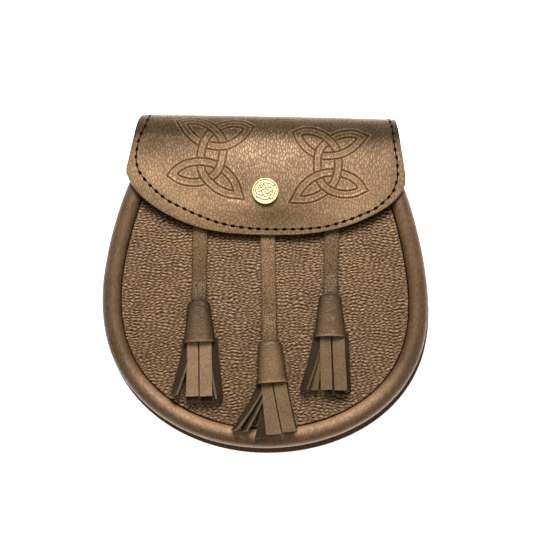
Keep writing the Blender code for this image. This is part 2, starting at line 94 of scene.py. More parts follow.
def open_tube(name, sides, rings):
    """A circle, extruded once for each ring. x and y turn round it, and z counts the rings."""
    bpy.ops.object.select_all(action="DESELECT")
    bpy.ops.mesh.primitive_circle_add(vertices=sides, radius=1.0)
    piece = named(name)
    bpy.ops.object.mode_set(mode="EDIT")
    bpy.ops.mesh.select_mode(type="VERT")
    bpy.ops.mesh.select_all(action="SELECT")
    for _ in range(rings):
        bpy.ops.mesh.extrude_region_move(TRANSFORM_OT_translate={"value": (0.0, 0.0, 1.0)})
    bpy.ops.object.mode_set(mode="OBJECT")
    return piece


def points_of(piece):
    """The places of its points, one row of x, y and z each."""
    places = np.empty(len(piece.data.vertices) * 3)
    piece.data.vertices.foreach_get("co", places)
    return places.reshape(-1, 3)


def move_points(piece, places):
    piece.data.vertices.foreach_set("co", np.asarray(places, dtype=float).ravel())
    piece.data.update()


def keep_value(piece, name, values):
    """Stores one number for each point, which the material can read."""
    piece.data.attributes.new(name, "FLOAT", "POINT").data.foreach_set("value", values)


def give(piece, *finishes):
    """Hands the piece its materials. A face picks one by its place in this list, from 0."""
    for finish in finishes:
        piece.data.materials.append(finish)


def apply_modifier(piece, kind, **settings):
    """Adds a modifier with these settings and applies it."""
    only(piece)
    modifier = piece.modifiers.new(kind.lower(), kind)
    for key, value in settings.items():
        setattr(modifier, key, value)
    bpy.ops.object.modifier_apply(modifier=modifier.name)


def round_edges(piece, width, segments=2, angle=50):
    """Bevels every edge that is sharper than angle."""
    only(piece)
    bpy.ops.object.mode_set(mode="EDIT")
    bpy.ops.mesh.select_mode(type="EDGE")
    bpy.ops.mesh.select_all(action="DESELECT")
    bpy.ops.mesh.edges_select_sharp(sharpness=radians(angle))
    bpy.ops.mesh.bevel(offset=width, segments=segments, affect="EDGES", clamp_overlap=True)
    bpy.ops.object.mode_set(mode="OBJECT")


def outward_and_smooth(piece, angle=40):
    """Turns all faces outwards and shades them smoothly, but not across sharp edges."""
    only(piece)
    bpy.ops.object.mode_set(mode="EDIT")
    bpy.ops.mesh.select_all(action="SELECT")
    bpy.ops.mesh.normals_make_consistent(inside=False)
    bpy.ops.object.mode_set(mode="OBJECT")
    bpy.ops.object.shade_smooth_by_angle(angle=radians(angle))


def join_all(pieces, name):
    """Makes one object of several."""
    only(pieces[0])
    for piece in pieces:
        piece.select_set(True)
    bpy.ops.object.join()
    return named(name)


def report(piece):
    """Prints how large and how fine a piece is, and stops if a step has left it empty."""
    triangles = sum(len(face.vertices) - 2 for face in piece.data.polygons)
    assert triangles > 0, f"{piece.name} has no faces"
    size = [round(side / MM, 1) for side in piece.dimensions]
    print(f"{piece.name}: {triangles} triangles, {size} mm")


def ease(t):
    """0 below 0, 1 above 1, and smooth between."""
    t = np.clip(t, 0.0, 1.0)
    return t * t * (3.0 - 2.0 * t)


def mix(a, b, t):
    return a + (b - a) * t


# %% [markdown]
# ## The camera and the light
# The picture looks almost straight at the front of the pouch, from a little below it. The pouch
# lies on its back here, so the camera hangs above it and leans towards its lower end. A softbox
# beyond the top of the pouch gives the leather its sheen and every bump a lit and a dark side. A
# wide weak lamp overhead fills the shadows, and the lit floor brightens the edges that turn away.

# %% Camera
CAMERA_AWAY = 0.9           # metres from the middle of the pouch
CAMERA_LOW = radians(10.0)  # how far it leans to the lower end of the pouch
CAMERA_RIGHT = radians(2.7)
CAMERA_ROLL = radians(-1.8)
CAMERA_AIM = Vector((0.6, 7.4, 30.0)) * MM
PICTURE_WIDTH = 533 * 0.588 * MM    # what the picture takes in, at the middle of the pouch
SENSOR = 36.0

away = Vector((sin(CAMERA_RIGHT), -sin(CAMERA_LOW), 0.0))
away.z = (1.0 - away.x ** 2 - away.y ** 2) ** 0.5
up = Vector((sin(CAMERA_ROLL), cos(CAMERA_ROLL), 0.0))
up = (up - away * up.dot(away)).normalized()
bpy.ops.object.camera_add()
camera = named("camera")
turn = Matrix((up.cross(away), up, away)).transposed()
camera.matrix_world = Matrix.Translation(CAMERA_AIM + away * CAMERA_AWAY) @ turn.to_4x4()
camera.data.sensor_width = SENSOR
camera.data.lens = SENSOR * CAMERA_AWAY / PICTURE_WIDTH
camera.data.clip_start = 0.01
bpy.context.scene.camera = camera
print("camera lens:", round(camera.data.lens, 1), "mm")

# %% Light
def soft_lamp(name, place, aim, size, watts):
    """A square lamp that shines from place towards aim."""
    bpy.ops.object.light_add(type="AREA", location=place)
    lamp = named(name)
    lamp.rotation_euler = (Vector(aim) - Vector(place)).to_track_quat("-Z", "Y").to_euler()
    lamp.data.size = size
    lamp.data.energy = watts
    return lamp


soft_lamp("key_softbox", (0.0, 0.42, 0.58), (0.0, 0.0, 0.02), 0.30, 5.6)
soft_lamp("overhead_fill", (0.0, -0.25, 1.30), (0.0, 0.0, 0.0), 1.60, 3.0)
world = bpy.data.worlds.new("studio")
world.use_nodes = True
world.node_tree.nodes["Background"].inputs["Color"].default_value = (1.0, 1.0, 1.0, 1.0)
world.node_tree.nodes["Background"].inputs["Strength"].default_value = 0.18
bpy.context.scene.world = world
bpy.context.scene.view_settings.view_transform = "Standard"

# %% [markdown]
# ## Materials
# The eye reads leather by its grain, by the darker dye that gathers in every hollow, and by a
# sheen that breaks up over the grain. So each leather here has three layers of detail: a slow
# change of colour, the grain of its hide, and fine pores. Cut edges show the paler fibres
# inside. Colours are the ones a paint program shows, turned to linear light by one function.

# %% Helpers for materials
def linear(colour, alpha=1.0):
    """The linear colour of an sRGB hex value, such as "8a6b4f"."""
    parts = [int(colour[i:i + 2], 16) / 255.0 for i in (0, 2, 4)]
    return (*(c / 12.92 if c <= 0.04045 else ((c + 0.055) / 1.055) ** 2.4 for c in parts), alpha)


def node(tree, kind, settings=None, values=None, links=None):
    """Adds one node, sets its settings and its sockets' values, and links others to it."""
    made = tree.nodes.new("ShaderNode" + kind)
    for key, value in (settings or {}).items():
        setattr(made, key, value)
    for key, value in (values or {}).items():
        made.inputs[key].default_value = value
    for key, source in (links or {}).items():
        tree.links.new(source, made.inputs[key])
    return made


def new_material(name, roughness, **values):
    """A material with its Principled shader: (material, its node tree, the shader)."""
    finish = bpy.data.materials.new(name)
    finish.use_nodes = True
    shader = finish.node_tree.nodes["Principled BSDF"]
    shader.inputs["Roughness"].default_value = roughness
    for key, value in values.items():
        shader.inputs[key.replace("_", " ")].default_value = value
    return finish, finish.node_tree, shader


def scaled_place(tree, cell, turn=0.0):
    """Object coordinates, counted in cells of this size in millimetres along x, y and z."""
    place = node(tree, "TexCoord").outputs["Object"]
    scale = [1.0 / (side * MM) for side in cell]
    return node(tree, "Mapping", values={"Scale": scale, "Rotation": (0.0, 0.0, turn)},
                links={"Vector": place}).outputs["Vector"]


def ramp(tree, source, stops):
    """A colour ramp with (place, hex colour) stops."""
    made = node(tree, "ValToRGB", links={"Fac": source})
    made.color_ramp.elements[0].position, first = stops[0]
    made.color_ramp.elements[0].color = linear(first)
    made.color_ramp.elements[1].position, last = stops[-1]
    made.color_ramp.elements[1].color = linear(last)
    for position, colour in stops[1:-1]:
        made.color_ramp.elements.new(position).color = linear(colour)
    return made.outputs["Color"]


def math(tree, operation, a, b):
    """One sum on two sockets or numbers."""
    values = {i: v for i, v in enumerate((a, b)) if isinstance(v, (int, float))}
    links = {i: v for i, v in enumerate((a, b)) if not isinstance(v, (int, float))}
    return node(tree, "Math", {"operation": operation}, values, links).outputs[0]


def leather(name, dark, middle, light, cell, grain, pore=0.35, roughness=0.45, relief=None,
            turn=0.0, sheen=0.35, crease_width=0.14, tone=None, creases=0.26, mottle=0.52,
            fine=0.07):
    """Dyed hide. cell is the size of its grain in mm, and grain the depth of its creases in mm.

    creases and mottle say how strongly the dye follows the creases and the fine pores, and fine
    is the depth of these pores in mm. relief names a number stored on the points: 0 in hollows,
    where dye gathers, and 1 on top; above 1 it is a painted highlight. tone names another, which
    makes the colour darker (below 1) or paler (above 1) and the sheen with it: the pieces store
    their painted shade and painted highlight in it.
    """
    finish, tree, shader = new_material(name, roughness, Specular_IOR_Level=sheen)
    place = scaled_place(tree, cell, turn)
    warp = node(tree, "TexNoise", values={"Scale": 0.7, "Detail": 2.0}, links={"Vector": place})
    bent = node(tree, "VectorMath", {"operation": "MULTIPLY_ADD"}, {1: (0.9, 0.9, 0.9)},
                {0: warp.outputs["Color"], 2: place}).outputs[0]
    cells = node(tree, "TexVoronoi", {"feature": "DISTANCE_TO_EDGE"}, {"Scale": 1.0},
                 {"Vector": bent}).outputs["Distance"]
    crease = node(tree, "MapRange", {"interpolation_type": "SMOOTHSTEP"}, {"From Max": crease_width},
                  {"Value": cells}).outputs["Result"]
    pores = node(tree, "TexNoise", values={"Scale": 1.0, "Detail": 4.0, "Roughness": 0.65},
                 links={"Vector": scaled_place(tree, (pore, pore, pore))}).outputs["Fac"]
    cloud = node(tree, "TexNoise", values={"Scale": 1.0, "Detail": 3.0},
                 links={"Vector": scaled_place(tree, (14.0, 14.0, 14.0))}).outputs["Fac"]
    shade = math(tree, "MULTIPLY_ADD", crease, creases)
    # This takes off what creases and pores add on average, so they leave the mean dye as it is.
    shade.node.inputs[2].default_value = 0.415 - 0.75 * creases - 0.5 * mottle
    shade = math(tree, "ADD", shade, math(tree, "MULTIPLY", pores, mottle))
    shade = math(tree, "ADD", shade, math(tree, "MULTIPLY", cloud, 0.26))
    if relief:
        stored = node(tree, "Attribute", {"attribute_name": relief}).outputs["Fac"]
        paler = math(tree, "ADD", math(tree, "MULTIPLY", stored, 0.85), 0.15)
        shade = math(tree, "MULTIPLY", shade, paler)
        polish = math(tree, "MULTIPLY", math(tree, "MINIMUM", stored, 1.5), sheen)
        tree.links.new(polish, shader.inputs["Specular IOR Level"])
    colour = ramp(tree, shade, [(0.10, dark), (0.42, middle), (0.68, light)])
    if tone:
        stored = node(tree, "Attribute", {"attribute_name": tone}).outputs["Fac"]
        colour = node(tree, "VectorMath", {"operation": "SCALE"}, links={0: colour, 3: stored}).outputs[0]
        polish = math(tree, "MULTIPLY", math(tree, "MINIMUM", stored, 1.4), polish if relief else sheen)
        tree.links.new(polish, shader.inputs["Specular IOR Level"])
    tree.links.new(colour, shader.inputs["Base Color"])
    gloss = node(tree, "MapRange", values={"From Min": 0.2, "From Max": 0.8,
                                           "To Min": roughness + 0.14, "To Max": roughness - 0.08},
                 links={"Value": math(tree, "ADD", math(tree, "MULTIPLY", crease, 0.5),
                                      math(tree, "MULTIPLY", pores, 0.5))}).outputs["Result"]
    tree.links.new(gloss, shader.inputs["Roughness"])
    shader.inputs["Specular Tint"].default_value = linear("ffe8d0")
    shallow = node(tree, "Bump", values={"Strength": 1.0, "Distance": fine * MM},
                   links={"Height": pores}).outputs["Normal"]
    deep = node(tree, "Bump", values={"Strength": 1.0, "Distance": grain * MM},
                links={"Height": crease, "Normal": shallow}).outputs["Normal"]
    tree.links.new(deep, shader.inputs["Normal"])
    return finish


# %% [markdown]
# The same hide looks different by how it was tanned, pressed and dyed. The base colours were set
# so that the render comes near the photo's brightness, piece by piece. Where a leather has
# tone="dye", the piece brings its own dark and pale places as well, and they too were set from
# the photo: they are mostly painted shade and painted highlight.

# %% The leathers
# Flap: full-grain cowhide, pebbled lengthwise by milling, dyed and waxed. Long soft cells with
# thin dark creases, and a broad satin sheen.
flap_leather = leather("milled_cowhide_flap", "3b291b", "775b3e", "a4825d", (1.35, 3.0, 3.0), 0.10,
                       pore=0.6, relief="relief", roughness=0.42, tone="dye", crease_width=0.22,
                       creases=0.22, mottle=0.34, sheen=0.45)
# Panel: a hide pressed with a coarse printed grain. Its bumps are in the mesh, so this adds only
# the fine skin on them and the dye that fills the valleys.
panel_leather = leather("printed_grain_panel", "33241a", "7f5f43", "bb986c", (1.2, 0.8, 0.9), 0.05,
                        relief="relief", roughness=0.36, sheen=0.6, tone="dye")
# Roll: smooth calf stretched over a cord, so it has almost no grain, only pores and slow waves.
roll_leather = leather("smooth_calf_roll", "2e2119", "574231", "765a3f", (0.9, 5.0, 2.4), 0.05,
                       roughness=0.37, pore=1.0, tone="dye", turn=radians(-24), sheen=0.30,
                       creases=0.20, mottle=0.44, fine=0.20)
# Back, gusset and belt loop: thicker plain cowhide with a dull finish.
back_leather = leather("plain_cowhide_back", "38281e", "664f3c", "896b51", (1.6, 1.6, 1.6), 0.10,
                       roughness=0.52)
# The side wall lies deep in the gap between the roll and the back. It is made nearly black: painted shade for
# that deep gap.
wall_painted_shade = leather("cowhide_wall_painted_shade", "0e0906", "1e150e", "2e2116", (1.6, 1.6, 1.6), 0.10,
                       roughness=0.65, sheen=0.15)
# Straps and caps: thin smooth calf with fine creases.
strap_leather = leather("smooth_calf_strap", "241810", "5d4630", "8a6a48", (1.5, 1.1, 1.0), 0.10,
                        pore=1.1, roughness=0.44, tone="dye", creases=0.34, mottle=0.70,
                        turn=radians(35))
cap_leather = leather("creased_calf_cap", "2c1f15", "5b4530", "7a5e42", (4.0, 0.8, 1.5), 0.06,
                      pore=1.2, roughness=0.42, turn=radians(28), tone="dye", creases=0.22,
                      mottle=0.20)
strip_leather = leather("fine_calf_strips", "423022", "7c6046", "a0815f", (1.6, 0.9, 0.9), 0.06,
                        pore=1.0, roughness=0.48, tone="dye", creases=0.22, turn=radians(20),
                        mottle=0.34)
# Cut edges and the flesh side: bare fibre, paler at the cut, and dark with dye on the inside.
cut_edge = leather("cut_leather_edge", "4a3928", "7a634b", "9c8265", (0.5, 0.5, 0.5), 0.10,
                   roughness=0.75, sheen=0.2)
flesh_side = leather("leather_flesh_side", "1c1410", "392b24", "534131", (0.7, 0.7, 0.7), 0.12,
                     roughness=0.85, sheen=0.12)
print("leathers:", [m.name for m in bpy.data.materials if "calf" in m.name or "hide" in m.name])

# %% Brass, thread and the floor
# Stud: die-struck brass, tumbled bright. Warm, with soft dents too small to see one by one.
brass, tree, shader = new_material("struck_brass", 0.40, Metallic=1.0)
worn = node(tree, "TexNoise", values={"Scale": 1.0, "Detail": 3.0},
            links={"Vector": scaled_place(tree, (1.1, 1.1, 1.1))}).outputs["Fac"]
bright = ramp(tree, worn, [(0.3, "e2c48d"), (0.7, "f2d8a6")])
struck = node(tree, "Attribute", {"attribute_name": "relief"}).outputs["Fac"]
polish = node(tree, "MapRange", values={"To Min": 0.72, "To Max": 1.0}, links={"Value": struck})
tree.links.new(node(tree, "VectorMath", {"operation": "SCALE"},
                    links={0: bright, 3: polish.outputs["Result"]}).outputs[0],
               shader.inputs["Base Color"])
tree.links.new(node(tree, "Bump", values={"Distance": 0.01 * MM}, links={"Height": worn}).outputs[0],
               shader.inputs["Normal"])

# Thread: waxed linen, dyed near black. Its twist shows as a fine slant.
thread, tree, shader = new_material("waxed_linen_thread", 0.85, Specular_IOR_Level=0.05)
twist = node(tree, "TexWave", {"bands_direction": "DIAGONAL"}, {"Scale": 1.0, "Distortion": 1.0},
             {"Vector": scaled_place(tree, (0.35, 0.35, 0.35))}).outputs["Fac"]
tree.links.new(ramp(tree, twist, [(0.0, "0a0705"), (1.0, "1d140d")]), shader.inputs["Base Color"])
tree.links.new(node(tree, "Bump", values={"Distance": 0.06 * MM}, links={"Height": twist}).outputs[0],
               shader.inputs["Normal"])

# Floor: a sheet of white acrylic with light behind it, as product pictures often use. It
# carries no shadow and puts a bright line on every edge that turns away from the camera.
acrylic, tree, shader = new_material("lit_white_acrylic", 0.9)
cloudy = node(tree, "TexNoise", values={"Scale": 3.0, "Detail": 1.0}).outputs["Fac"]
tree.links.new(ramp(tree, cloudy, [(0.0, "f4f4f4"), (1.0, "fafafa")]), shader.inputs["Base Color"])
shader.inputs["Emission Color"].default_value = (1.0, 1.0, 1.0, 1.0)
shader.inputs["Emission Strength"].default_value = 0.9
bpy.ops.object.select_all(action="DESELECT")
bpy.ops.mesh.primitive_plane_add(size=6.0, location=(0.0, 0.0, -0.05 * MM))
floor = named("floor")
give(floor, acrylic)

# %% [markdown]
# ## The outline of the pouch
# The pouch is a rounded bag, fullest below its middle and a little uneven, as hand work is. The
# roll, the panel, the side wall and the back all follow one outline. These sizes repeat those of
# the CAD pieces, so every new piece lies where its plain one lay.

# %% The outline and the heights
HALF_WIDTH = 95.6 * MM      # of the edge roll at its widest
WIDEST_Y = -14.2 * MM       # of its right side
LEFT_LIFT = 6.5 * MM        # the left side is this much fuller above
ROLL_BOTTOM_Y = -98.9 * MM
LOWER_POWER = 2.3
UPPER_TAPER = 13.0 * MM
UPPER_RISE = 65.7 * MM
UPPER_POWER = 1.7
ROLL_RADIUS = 5.7 * MM
ROLL_Z = 30.0 * MM
ROLL_END_Y = 74.5 * MM
ROLL_SINK = 3.0 * MM
ROLL_SINK_FROM_Y = 38.0 * MM
ROLL_SINK_OVER = 36.0 * MM
PANEL_RISE = 1.2 * MM
PANEL_DOME = 2.2 * MM
PANEL_DOME_X = 84.0 * MM
PANEL_DOME_Y = 86.0 * MM
PANEL_MIDDLE_Y = -6.4 * MM
PANEL_TOP_Y = 71.0 * MM
GAP = 0.3 * MM              # between neighbouring pieces
BACK_Z = 7.8 * MM           # height of the back panel's outer face


def half_outline(top_y, widest_y, steps=160):
    """Points of a right half, from the bottom middle up to top_y."""
    depth = widest_y - ROLL_BOTTOM_Y
    points = []
    for i in range(steps):
        angle = (1.0 - i / steps) * pi / 2.0
        drop = depth * sin(angle) ** (2.0 / LOWER_POWER)
        points.append(Vector((HALF_WIDTH * cos(angle), widest_y - drop)))
    for i in range(steps + 1):
        rise = (top_y - widest_y) * i / steps
        taper = UPPER_TAPER * (rise / UPPER_RISE) ** UPPER_POWER
        points.append(Vector((HALF_WIDTH - taper, widest_y + rise)))
    return points


def outline(inset, top_y, count):
    """The U from the left end, round the bottom, to the right end, moved inwards by inset.

    Returns evenly spaced points and their outward directions, as two arrays.
    """
    left = half_outline(top_y, WIDEST_Y + LEFT_LIFT)
    right = half_outline(top_y, WIDEST_Y)
    path = np.array([(-p.x, p.y) for p in reversed(left)] + [tuple(p) for p in right[1:]])
    travelled = np.concatenate(([0.0], np.cumsum(np.hypot(*np.diff(path, axis=0).T))))
    wanted = np.linspace(0.0, travelled[-1], count)
    step = 1.5 * MM
    spots = np.column_stack([np.interp(wanted, travelled, path[:, i]) for i in (0, 1)])
    ahead = np.column_stack([np.interp(wanted + step, travelled, path[:, i]) for i in (0, 1)])
    behind = np.column_stack([np.interp(wanted - step, travelled, path[:, i]) for i in (0, 1)])
    along = ahead - behind
    along /= np.hypot(*along.T)[:, None]
    outward = np.column_stack((along[:, 1], -along[:, 0]))
    return spots - outward * inset, outward


def roll_z(y):
    """Height of the middle of the edge roll: the pouch is thinner towards its mouth."""
    return ROLL_Z - ROLL_SINK * ease((y - ROLL_SINK_FROM_Y) / ROLL_SINK_OVER)


def panel_top(x, y):
    """Height of the front panel's upper face."""
    across = np.maximum(0.0, 1.0 - (x / PANEL_DOME_X) ** 2)
    along = np.maximum(0.0, 1.0 - ((y - PANEL_MIDDLE_Y) / PANEL_DOME_Y) ** 2)
    return roll_z(y) + PANEL_RISE + PANEL_DOME * across * along


def hash_of(a, b, seed):
    """A number from 0 to 1 for each pair of whole numbers, the same in every run."""
    wave = np.sin(a * 127.1 + b * 311.7 + seed * 74.7) * 43758.5453
    return wave - np.floor(wave)


def waves(x, y, size, seed):
    """Slow smooth noise between -1 and 1, with features of this size."""
    x, y = x / size, y / size
    column, row = np.floor(x), np.floor(y)
    across, along = ease(x - column), ease(y - row)
    corners = [hash_of(column + i, row + j, seed) for j in (0, 1) for i in (0, 1)]
    below = mix(corners[0], corners[1], across)
    above = mix(corners[2], corners[3], across)
    return 2.0 * mix(below, above, along) - 1.0


def ripples(x, y):
    """Many nearly level ripples added up, between about -2 and 2. Their crests are rows that
    wander, fork and end, as on wrinkled hide or on sand."""
    total = np.zeros(x.shape)
    for number in range(ROW_RIPPLES):
        across = (hash_of(number, 1, 4) + hash_of(number, 4, 4) - 1.0) / ROW_LENGTH
        pitch = ROW_PITCH * (1.0 + ROW_UNEVEN * (2.0 * hash_of(number, 2, 4) - 1.0))
        total += np.cos(2.0 * pi * (x * across + y / pitch + hash_of(number, 3, 4)))
    return total / (ROW_RIPPLES / 2.0) ** 0.5


def beads(x, y):
    """Rounded bumps in staggered rows: 0 in the valleys between them, 1 on their tops."""
    nearest, second = np.full(x.shape, 9.0), np.full(x.shape, 9.0)
    own_row = np.floor(y / ROW_PITCH)
    for row in (own_row - 1.0, own_row, own_row + 1.0):
        shift = hash_of(row, 7, 6)
        own_place = np.floor(x / BEAD_LENGTH - shift)
        for place in (own_place - 1.0, own_place, own_place + 1.0):
            aside = BEAD_STRAY[0] * (hash_of(place, row, 1) - 0.5)
            above = BEAD_STRAY[1] * (hash_of(place, row, 2) - 0.5)
            middle_x = (place + 0.5 + shift + aside) * BEAD_LENGTH
            middle_y = (row + 0.5 + above) * ROW_PITCH
            away = np.hypot((x - middle_x) / BEAD_LENGTH, (y - middle_y) / ROW_PITCH)
            second = np.minimum(second, np.maximum(nearest, away))
            nearest = np.minimum(nearest, away)
    return ease((second - nearest) / BEAD_SLOPE)


print("outline points:", len(outline(0.0, ROLL_END_Y, 300)[0]))

# %% [markdown]
# The flap hangs over all this. A saddler cuts it flat and folds it over the mouth, so it has a
# flat pattern, and a rule that carries each point of the pattern to its place on the pouch.

# %% The flat pattern and the fold
FLAP_THICK = 2.2 * MM
FOLD_RADIUS = 15.5 * MM
FOLD_Y = 83.8 * MM
FLAP_BACK_Y = 59.0 * MM
FLAP_X = -1.6 * MM
FOLD_HALF_WIDTH = 75.2 * MM
FLAP_HALF_WIDTH = 82.5 * MM
FLAP_WIDENS_OVER = 45.0 * MM
REAR_NARROWS = 0.1
FLAP_TIP_Y = 24.8 * MM
FLAP_SWEEP = 28.0 * MM
FLAP_SWEEP_POWER = 2.7
FLAP_CORNER = 6.0 * MM
FLAP_CORNER_POWER = 24
FLAP_SKEW = 2.0 * MM
FLAP_CROWN = 2.1 * MM
FLAP_CREST_Y = 55.0 * MM
FLAP_DROOP = 3.0 * MM
FOLD_END = FOLD_RADIUS * pi / 2.0       # along the leather, from the middle of the fold
REAR_END = -(FOLD_END + FOLD_Y - FLAP_BACK_Y)
REAR_Z = BACK_Z - GAP - FLAP_THICK / 2.0


def flap_half_width(along):
    """Half the flap's width, this far along the leather from the middle of its fold."""
    front = mix(FOLD_HALF_WIDTH, FLAP_HALF_WIDTH, np.clip(along / FLAP_WIDENS_OVER, 0.0, 1.0))
    return np.where(along > 0.0, front, FOLD_HALF_WIDTH + REAR_NARROWS * along)


def flap_end(u):
    """How far along the leather the lower edge lies, u from -1 at the left to 1 at the right."""
    side = np.abs(u)
    lower_y = (FLAP_TIP_Y + FLAP_SWEEP * side ** FLAP_SWEEP_POWER
               + FLAP_CORNER * side ** FLAP_CORNER_POWER - FLAP_SKEW * u ** 3)
    return FOLD_END + FOLD_Y - lower_y


def fold_flap(flat):
    """Carries points from the flat pattern (across, along, above its middle) to their places."""
    x, along, above = flat.T
    u = (x - FLAP_X) / flap_half_width(along)
    angle = np.clip(along / FOLD_RADIUS, -pi / 2.0, pi / 2.0)
    droop = FLAP_DROOP * ease(angle / pi + 0.5) * np.abs(u) ** 3
    over = np.maximum(np.abs(along) - FOLD_END, 0.0)
    y = FOLD_Y + FOLD_RADIUS * np.cos(angle) - over
    z = REAR_Z + FOLD_RADIUS * (1.0 + np.sin(angle)) - droop
    reach = (y - FLAP_CREST_Y) / (FOLD_Y - FLAP_CREST_Y)
    in_front = along > FOLD_END
    z = z + np.where(in_front, FLAP_CROWN * (1.0 - reach * reach), 0.0)
    slope = np.where(in_front, 2.0 * FLAP_CROWN * reach / (FOLD_Y - FLAP_CREST_Y), 0.0)
    normal_y = np.where(in_front, slope, np.cos(angle))
    normal_z = np.where(in_front, 1.0, np.sin(angle))
    length = np.hypot(normal_y, normal_z)
    return np.column_stack((x, y + above * normal_y / length, z + above * normal_z / length))


print("the leather runs", round((flap_end(0.0) - REAR_END) / MM, 1), "mm from end to end")

# %% [markdown]
# ## The front panel
# On the real pouch this is one domed sheet of hide with a coarse printed grain: rows of small
# bumps, longer than they are high, that wander and fork. The bumps catch the light one by one,
# so they have to be real shape. A grid is cut to the outline and given its thickness. Its upper
# side is then divided finely, domed, and raised into rounded bumps in staggered rows. Faint
# ripples under them keep the rows from looking ruled.

# %% Front panel
PANEL_CELLS = (75, 152)     # coarse faces, each divided in three by three on top
PANEL_CUTS = 2
PANEL_HALF = (85.0 * MM, 79.0 * MM)
PANEL_SHIFT_Y = -10.0 * MM
PANEL_THICK = 1.6 * MM
PANEL_CUT_Y = 66.9 * MM     # its upper edge, hidden by the flap
BUMP_HEIGHT = 0.40 * MM
PAINTED_SHADOW_REACH = 6.0 * MM       # how far the painted shadow reaches out from under the flap
PAINTED_SHADOW_LEVEL = 0.10             # how dark the painted shadow is, where 1 is the dye of the rest
FLAP_EDGE_SEEN = 2.0 * MM   # so much deeper under the flap the camera still sees the panel
ROW_PITCH = 1.75 * MM       # from one row of bumps to the next
ROW_LENGTH = 1.6 * MM       # the shorter this is, the sooner a row forks or ends
ROW_UNEVEN = 0.28           # by what share the ripples' pitch varies
ROW_RIPPLES = 60
BEAD_LENGTH = 3.1 * MM      # of one bump in its row
BEAD_STRAY = (0.6, 0.35)    # how far bumps lie off their places, in lengths and in pitches
BEAD_SLOPE = 0.75           # the smaller this is, the steeper a bump's sides
RELIEF_MIX = (0.33, 0.25, 0.52)     # height of the valleys, share of ripples, share of bumps

panel = flat_grid("front_panel_leather", *PANEL_CELLS)
spots = points_of(panel)
spots[:, 0] *= PANEL_HALF[0]
spots[:, 1] = spots[:, 1] * PANEL_HALF[1] + PANEL_SHIFT_Y
edge, edge_outward = outline(2.0 * ROLL_RADIUS + GAP, PANEL_TOP_Y, 900)


def past_edge(places):
    """The nearest edge point of each place, and how far the place lies outside it."""
    nearest = np.empty(len(places), dtype=int)
    for start in range(0, len(places), 4000):
        part = places[start:start + 4000, None, :] - edge[None, :, :]
        nearest[start:start + 4000] = np.argmin((part ** 2).sum(axis=2), axis=1)
    return nearest, ((places - edge[nearest]) * edge_outward[nearest]).sum(axis=1)


nearest, outside = past_edge(spots[:, :2])
outside = np.maximum(outside, spots[:, 1] - PANEL_CUT_Y)
move_points(panel, spots)
choose_faces(panel, [outside[list(face.vertices)].mean() > 0.0 for face in panel.data.polygons])
bpy.ops.mesh.delete(type="FACE")
# The cut leaves steps. Every point of the open rim goes to the nearest place of the outline,
# except along the straight upper edge, and those that meet there are merged.
bpy.ops.mesh.select_mode(type="VERT")
bpy.ops.mesh.select_all(action="DESELECT")
bpy.ops.mesh.select_non_manifold()
bpy.ops.object.mode_set(mode="OBJECT")
spots = points_of(panel)
on_rim = np.empty(len(spots), dtype=bool)
panel.data.vertices.foreach_get("select", on_rim)
on_rim &= spots[:, 1] < PANEL_CUT_Y - 2.0 * MM
nearest, _ = past_edge(spots[on_rim, :2])
spots[on_rim, :2] = edge[nearest]
move_points(panel, spots)
bpy.ops.object.mode_set(mode="EDIT")
bpy.ops.mesh.remove_doubles(threshold=0.3 * MM)
bpy.ops.object.mode_set(mode="OBJECT")
apply_modifier(panel, "SOLIDIFY", thickness=PANEL_THICK, offset=-1.0)
# The first sheet still lies at height 0. Everything else is its copy, and goes flat below it.
spots = points_of(panel)
on_top = np.abs(spots[:, 2]) < 0.01 * PANEL_THICK
spots[:, 2] = np.where(on_top, 0.0, -PANEL_THICK)
move_points(panel, spots)
choose_faces(panel, [on_top[list(face.vertices)].all() for face in panel.data.polygons])
bpy.ops.mesh.subdivide(number_cuts=PANEL_CUTS)
bpy.ops.object.mode_set(mode="OBJECT")

spots = points_of(panel)
x, y = spots[:, 0], spots[:, 1]
on_top = spots[:, 2] > -0.1 * PANEL_THICK
_, outside = past_edge(spots[:, :2])
inside = ease(-outside / (2.0 * MM))
wander = 0.9 * MM * waves(x, y, 9.0 * MM, 8) + 0.35 * MM * waves(x, y, 3.5 * MM, 14)
sway = 1.0 * MM * waves(x, y, 7.0 * MM, 5)
rows = ripples(x + sway, y + wander)
round_tops = beads(x + sway, y + 1.6 * wander)
valleys, of_ripples, of_bumps = RELIEF_MIX
relief = ease(valleys + of_ripples * rows + of_bumps * round_tops)
painted_glint = ease((0.35 * rows + round_tops - 0.95) / 0.4)   # painted highlight: the highest tops are made paler and glossier, as small glints
spots[:, 2] += panel_top(x, y) + np.where(on_top, BUMP_HEIGHT * (relief - 1.0) * inside, 0.0)
move_points(panel, spots)
# The relief stored here goes above 1 on the highest tops: a painted highlight.
keep_value(panel, "relief", relief + 0.35 * painted_glint)
outward_and_smooth(panel, 60)
give(panel, panel_leather)
# Painted shadow: the panel is nearly black in a strip under the flap's edge. The flap's own shadow
# isn't as dark here, so the dye is darkened there too.
u = np.clip((x - FLAP_X) / FLAP_HALF_WIDTH, -1.0, 1.0)
out_of_painted_shadow = ease((FLAP_EDGE_SEEN + FOLD_END + FOLD_Y - flap_end(u) - y) / PAINTED_SHADOW_REACH)
keep_value(panel, "dye", mix(PAINTED_SHADOW_LEVEL, 1.0, out_of_painted_shadow))
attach(panel, "root")
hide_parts("front_panel")
report(panel)

# %% [markdown]
# ## The padded roll
# A strip of smooth leather is wrapped round a cord and caught in the seam all round the front.
# A circle, extruded ring after ring and carried along the outline, gives a tube that is a little
# too thin. Blender's cloth then fills it, as the cord does: its seam is pinned and air presses
# from inside, so the leather swells everywhere but at the seam. At real size the air moved no
# point of so thin a tube, so the roll is filled at 20 times its size. Leather gives little, so
# the swelling stays near 0.2 mm and is capped at ROLL_GIVE: nearly all of the form is the tube's.

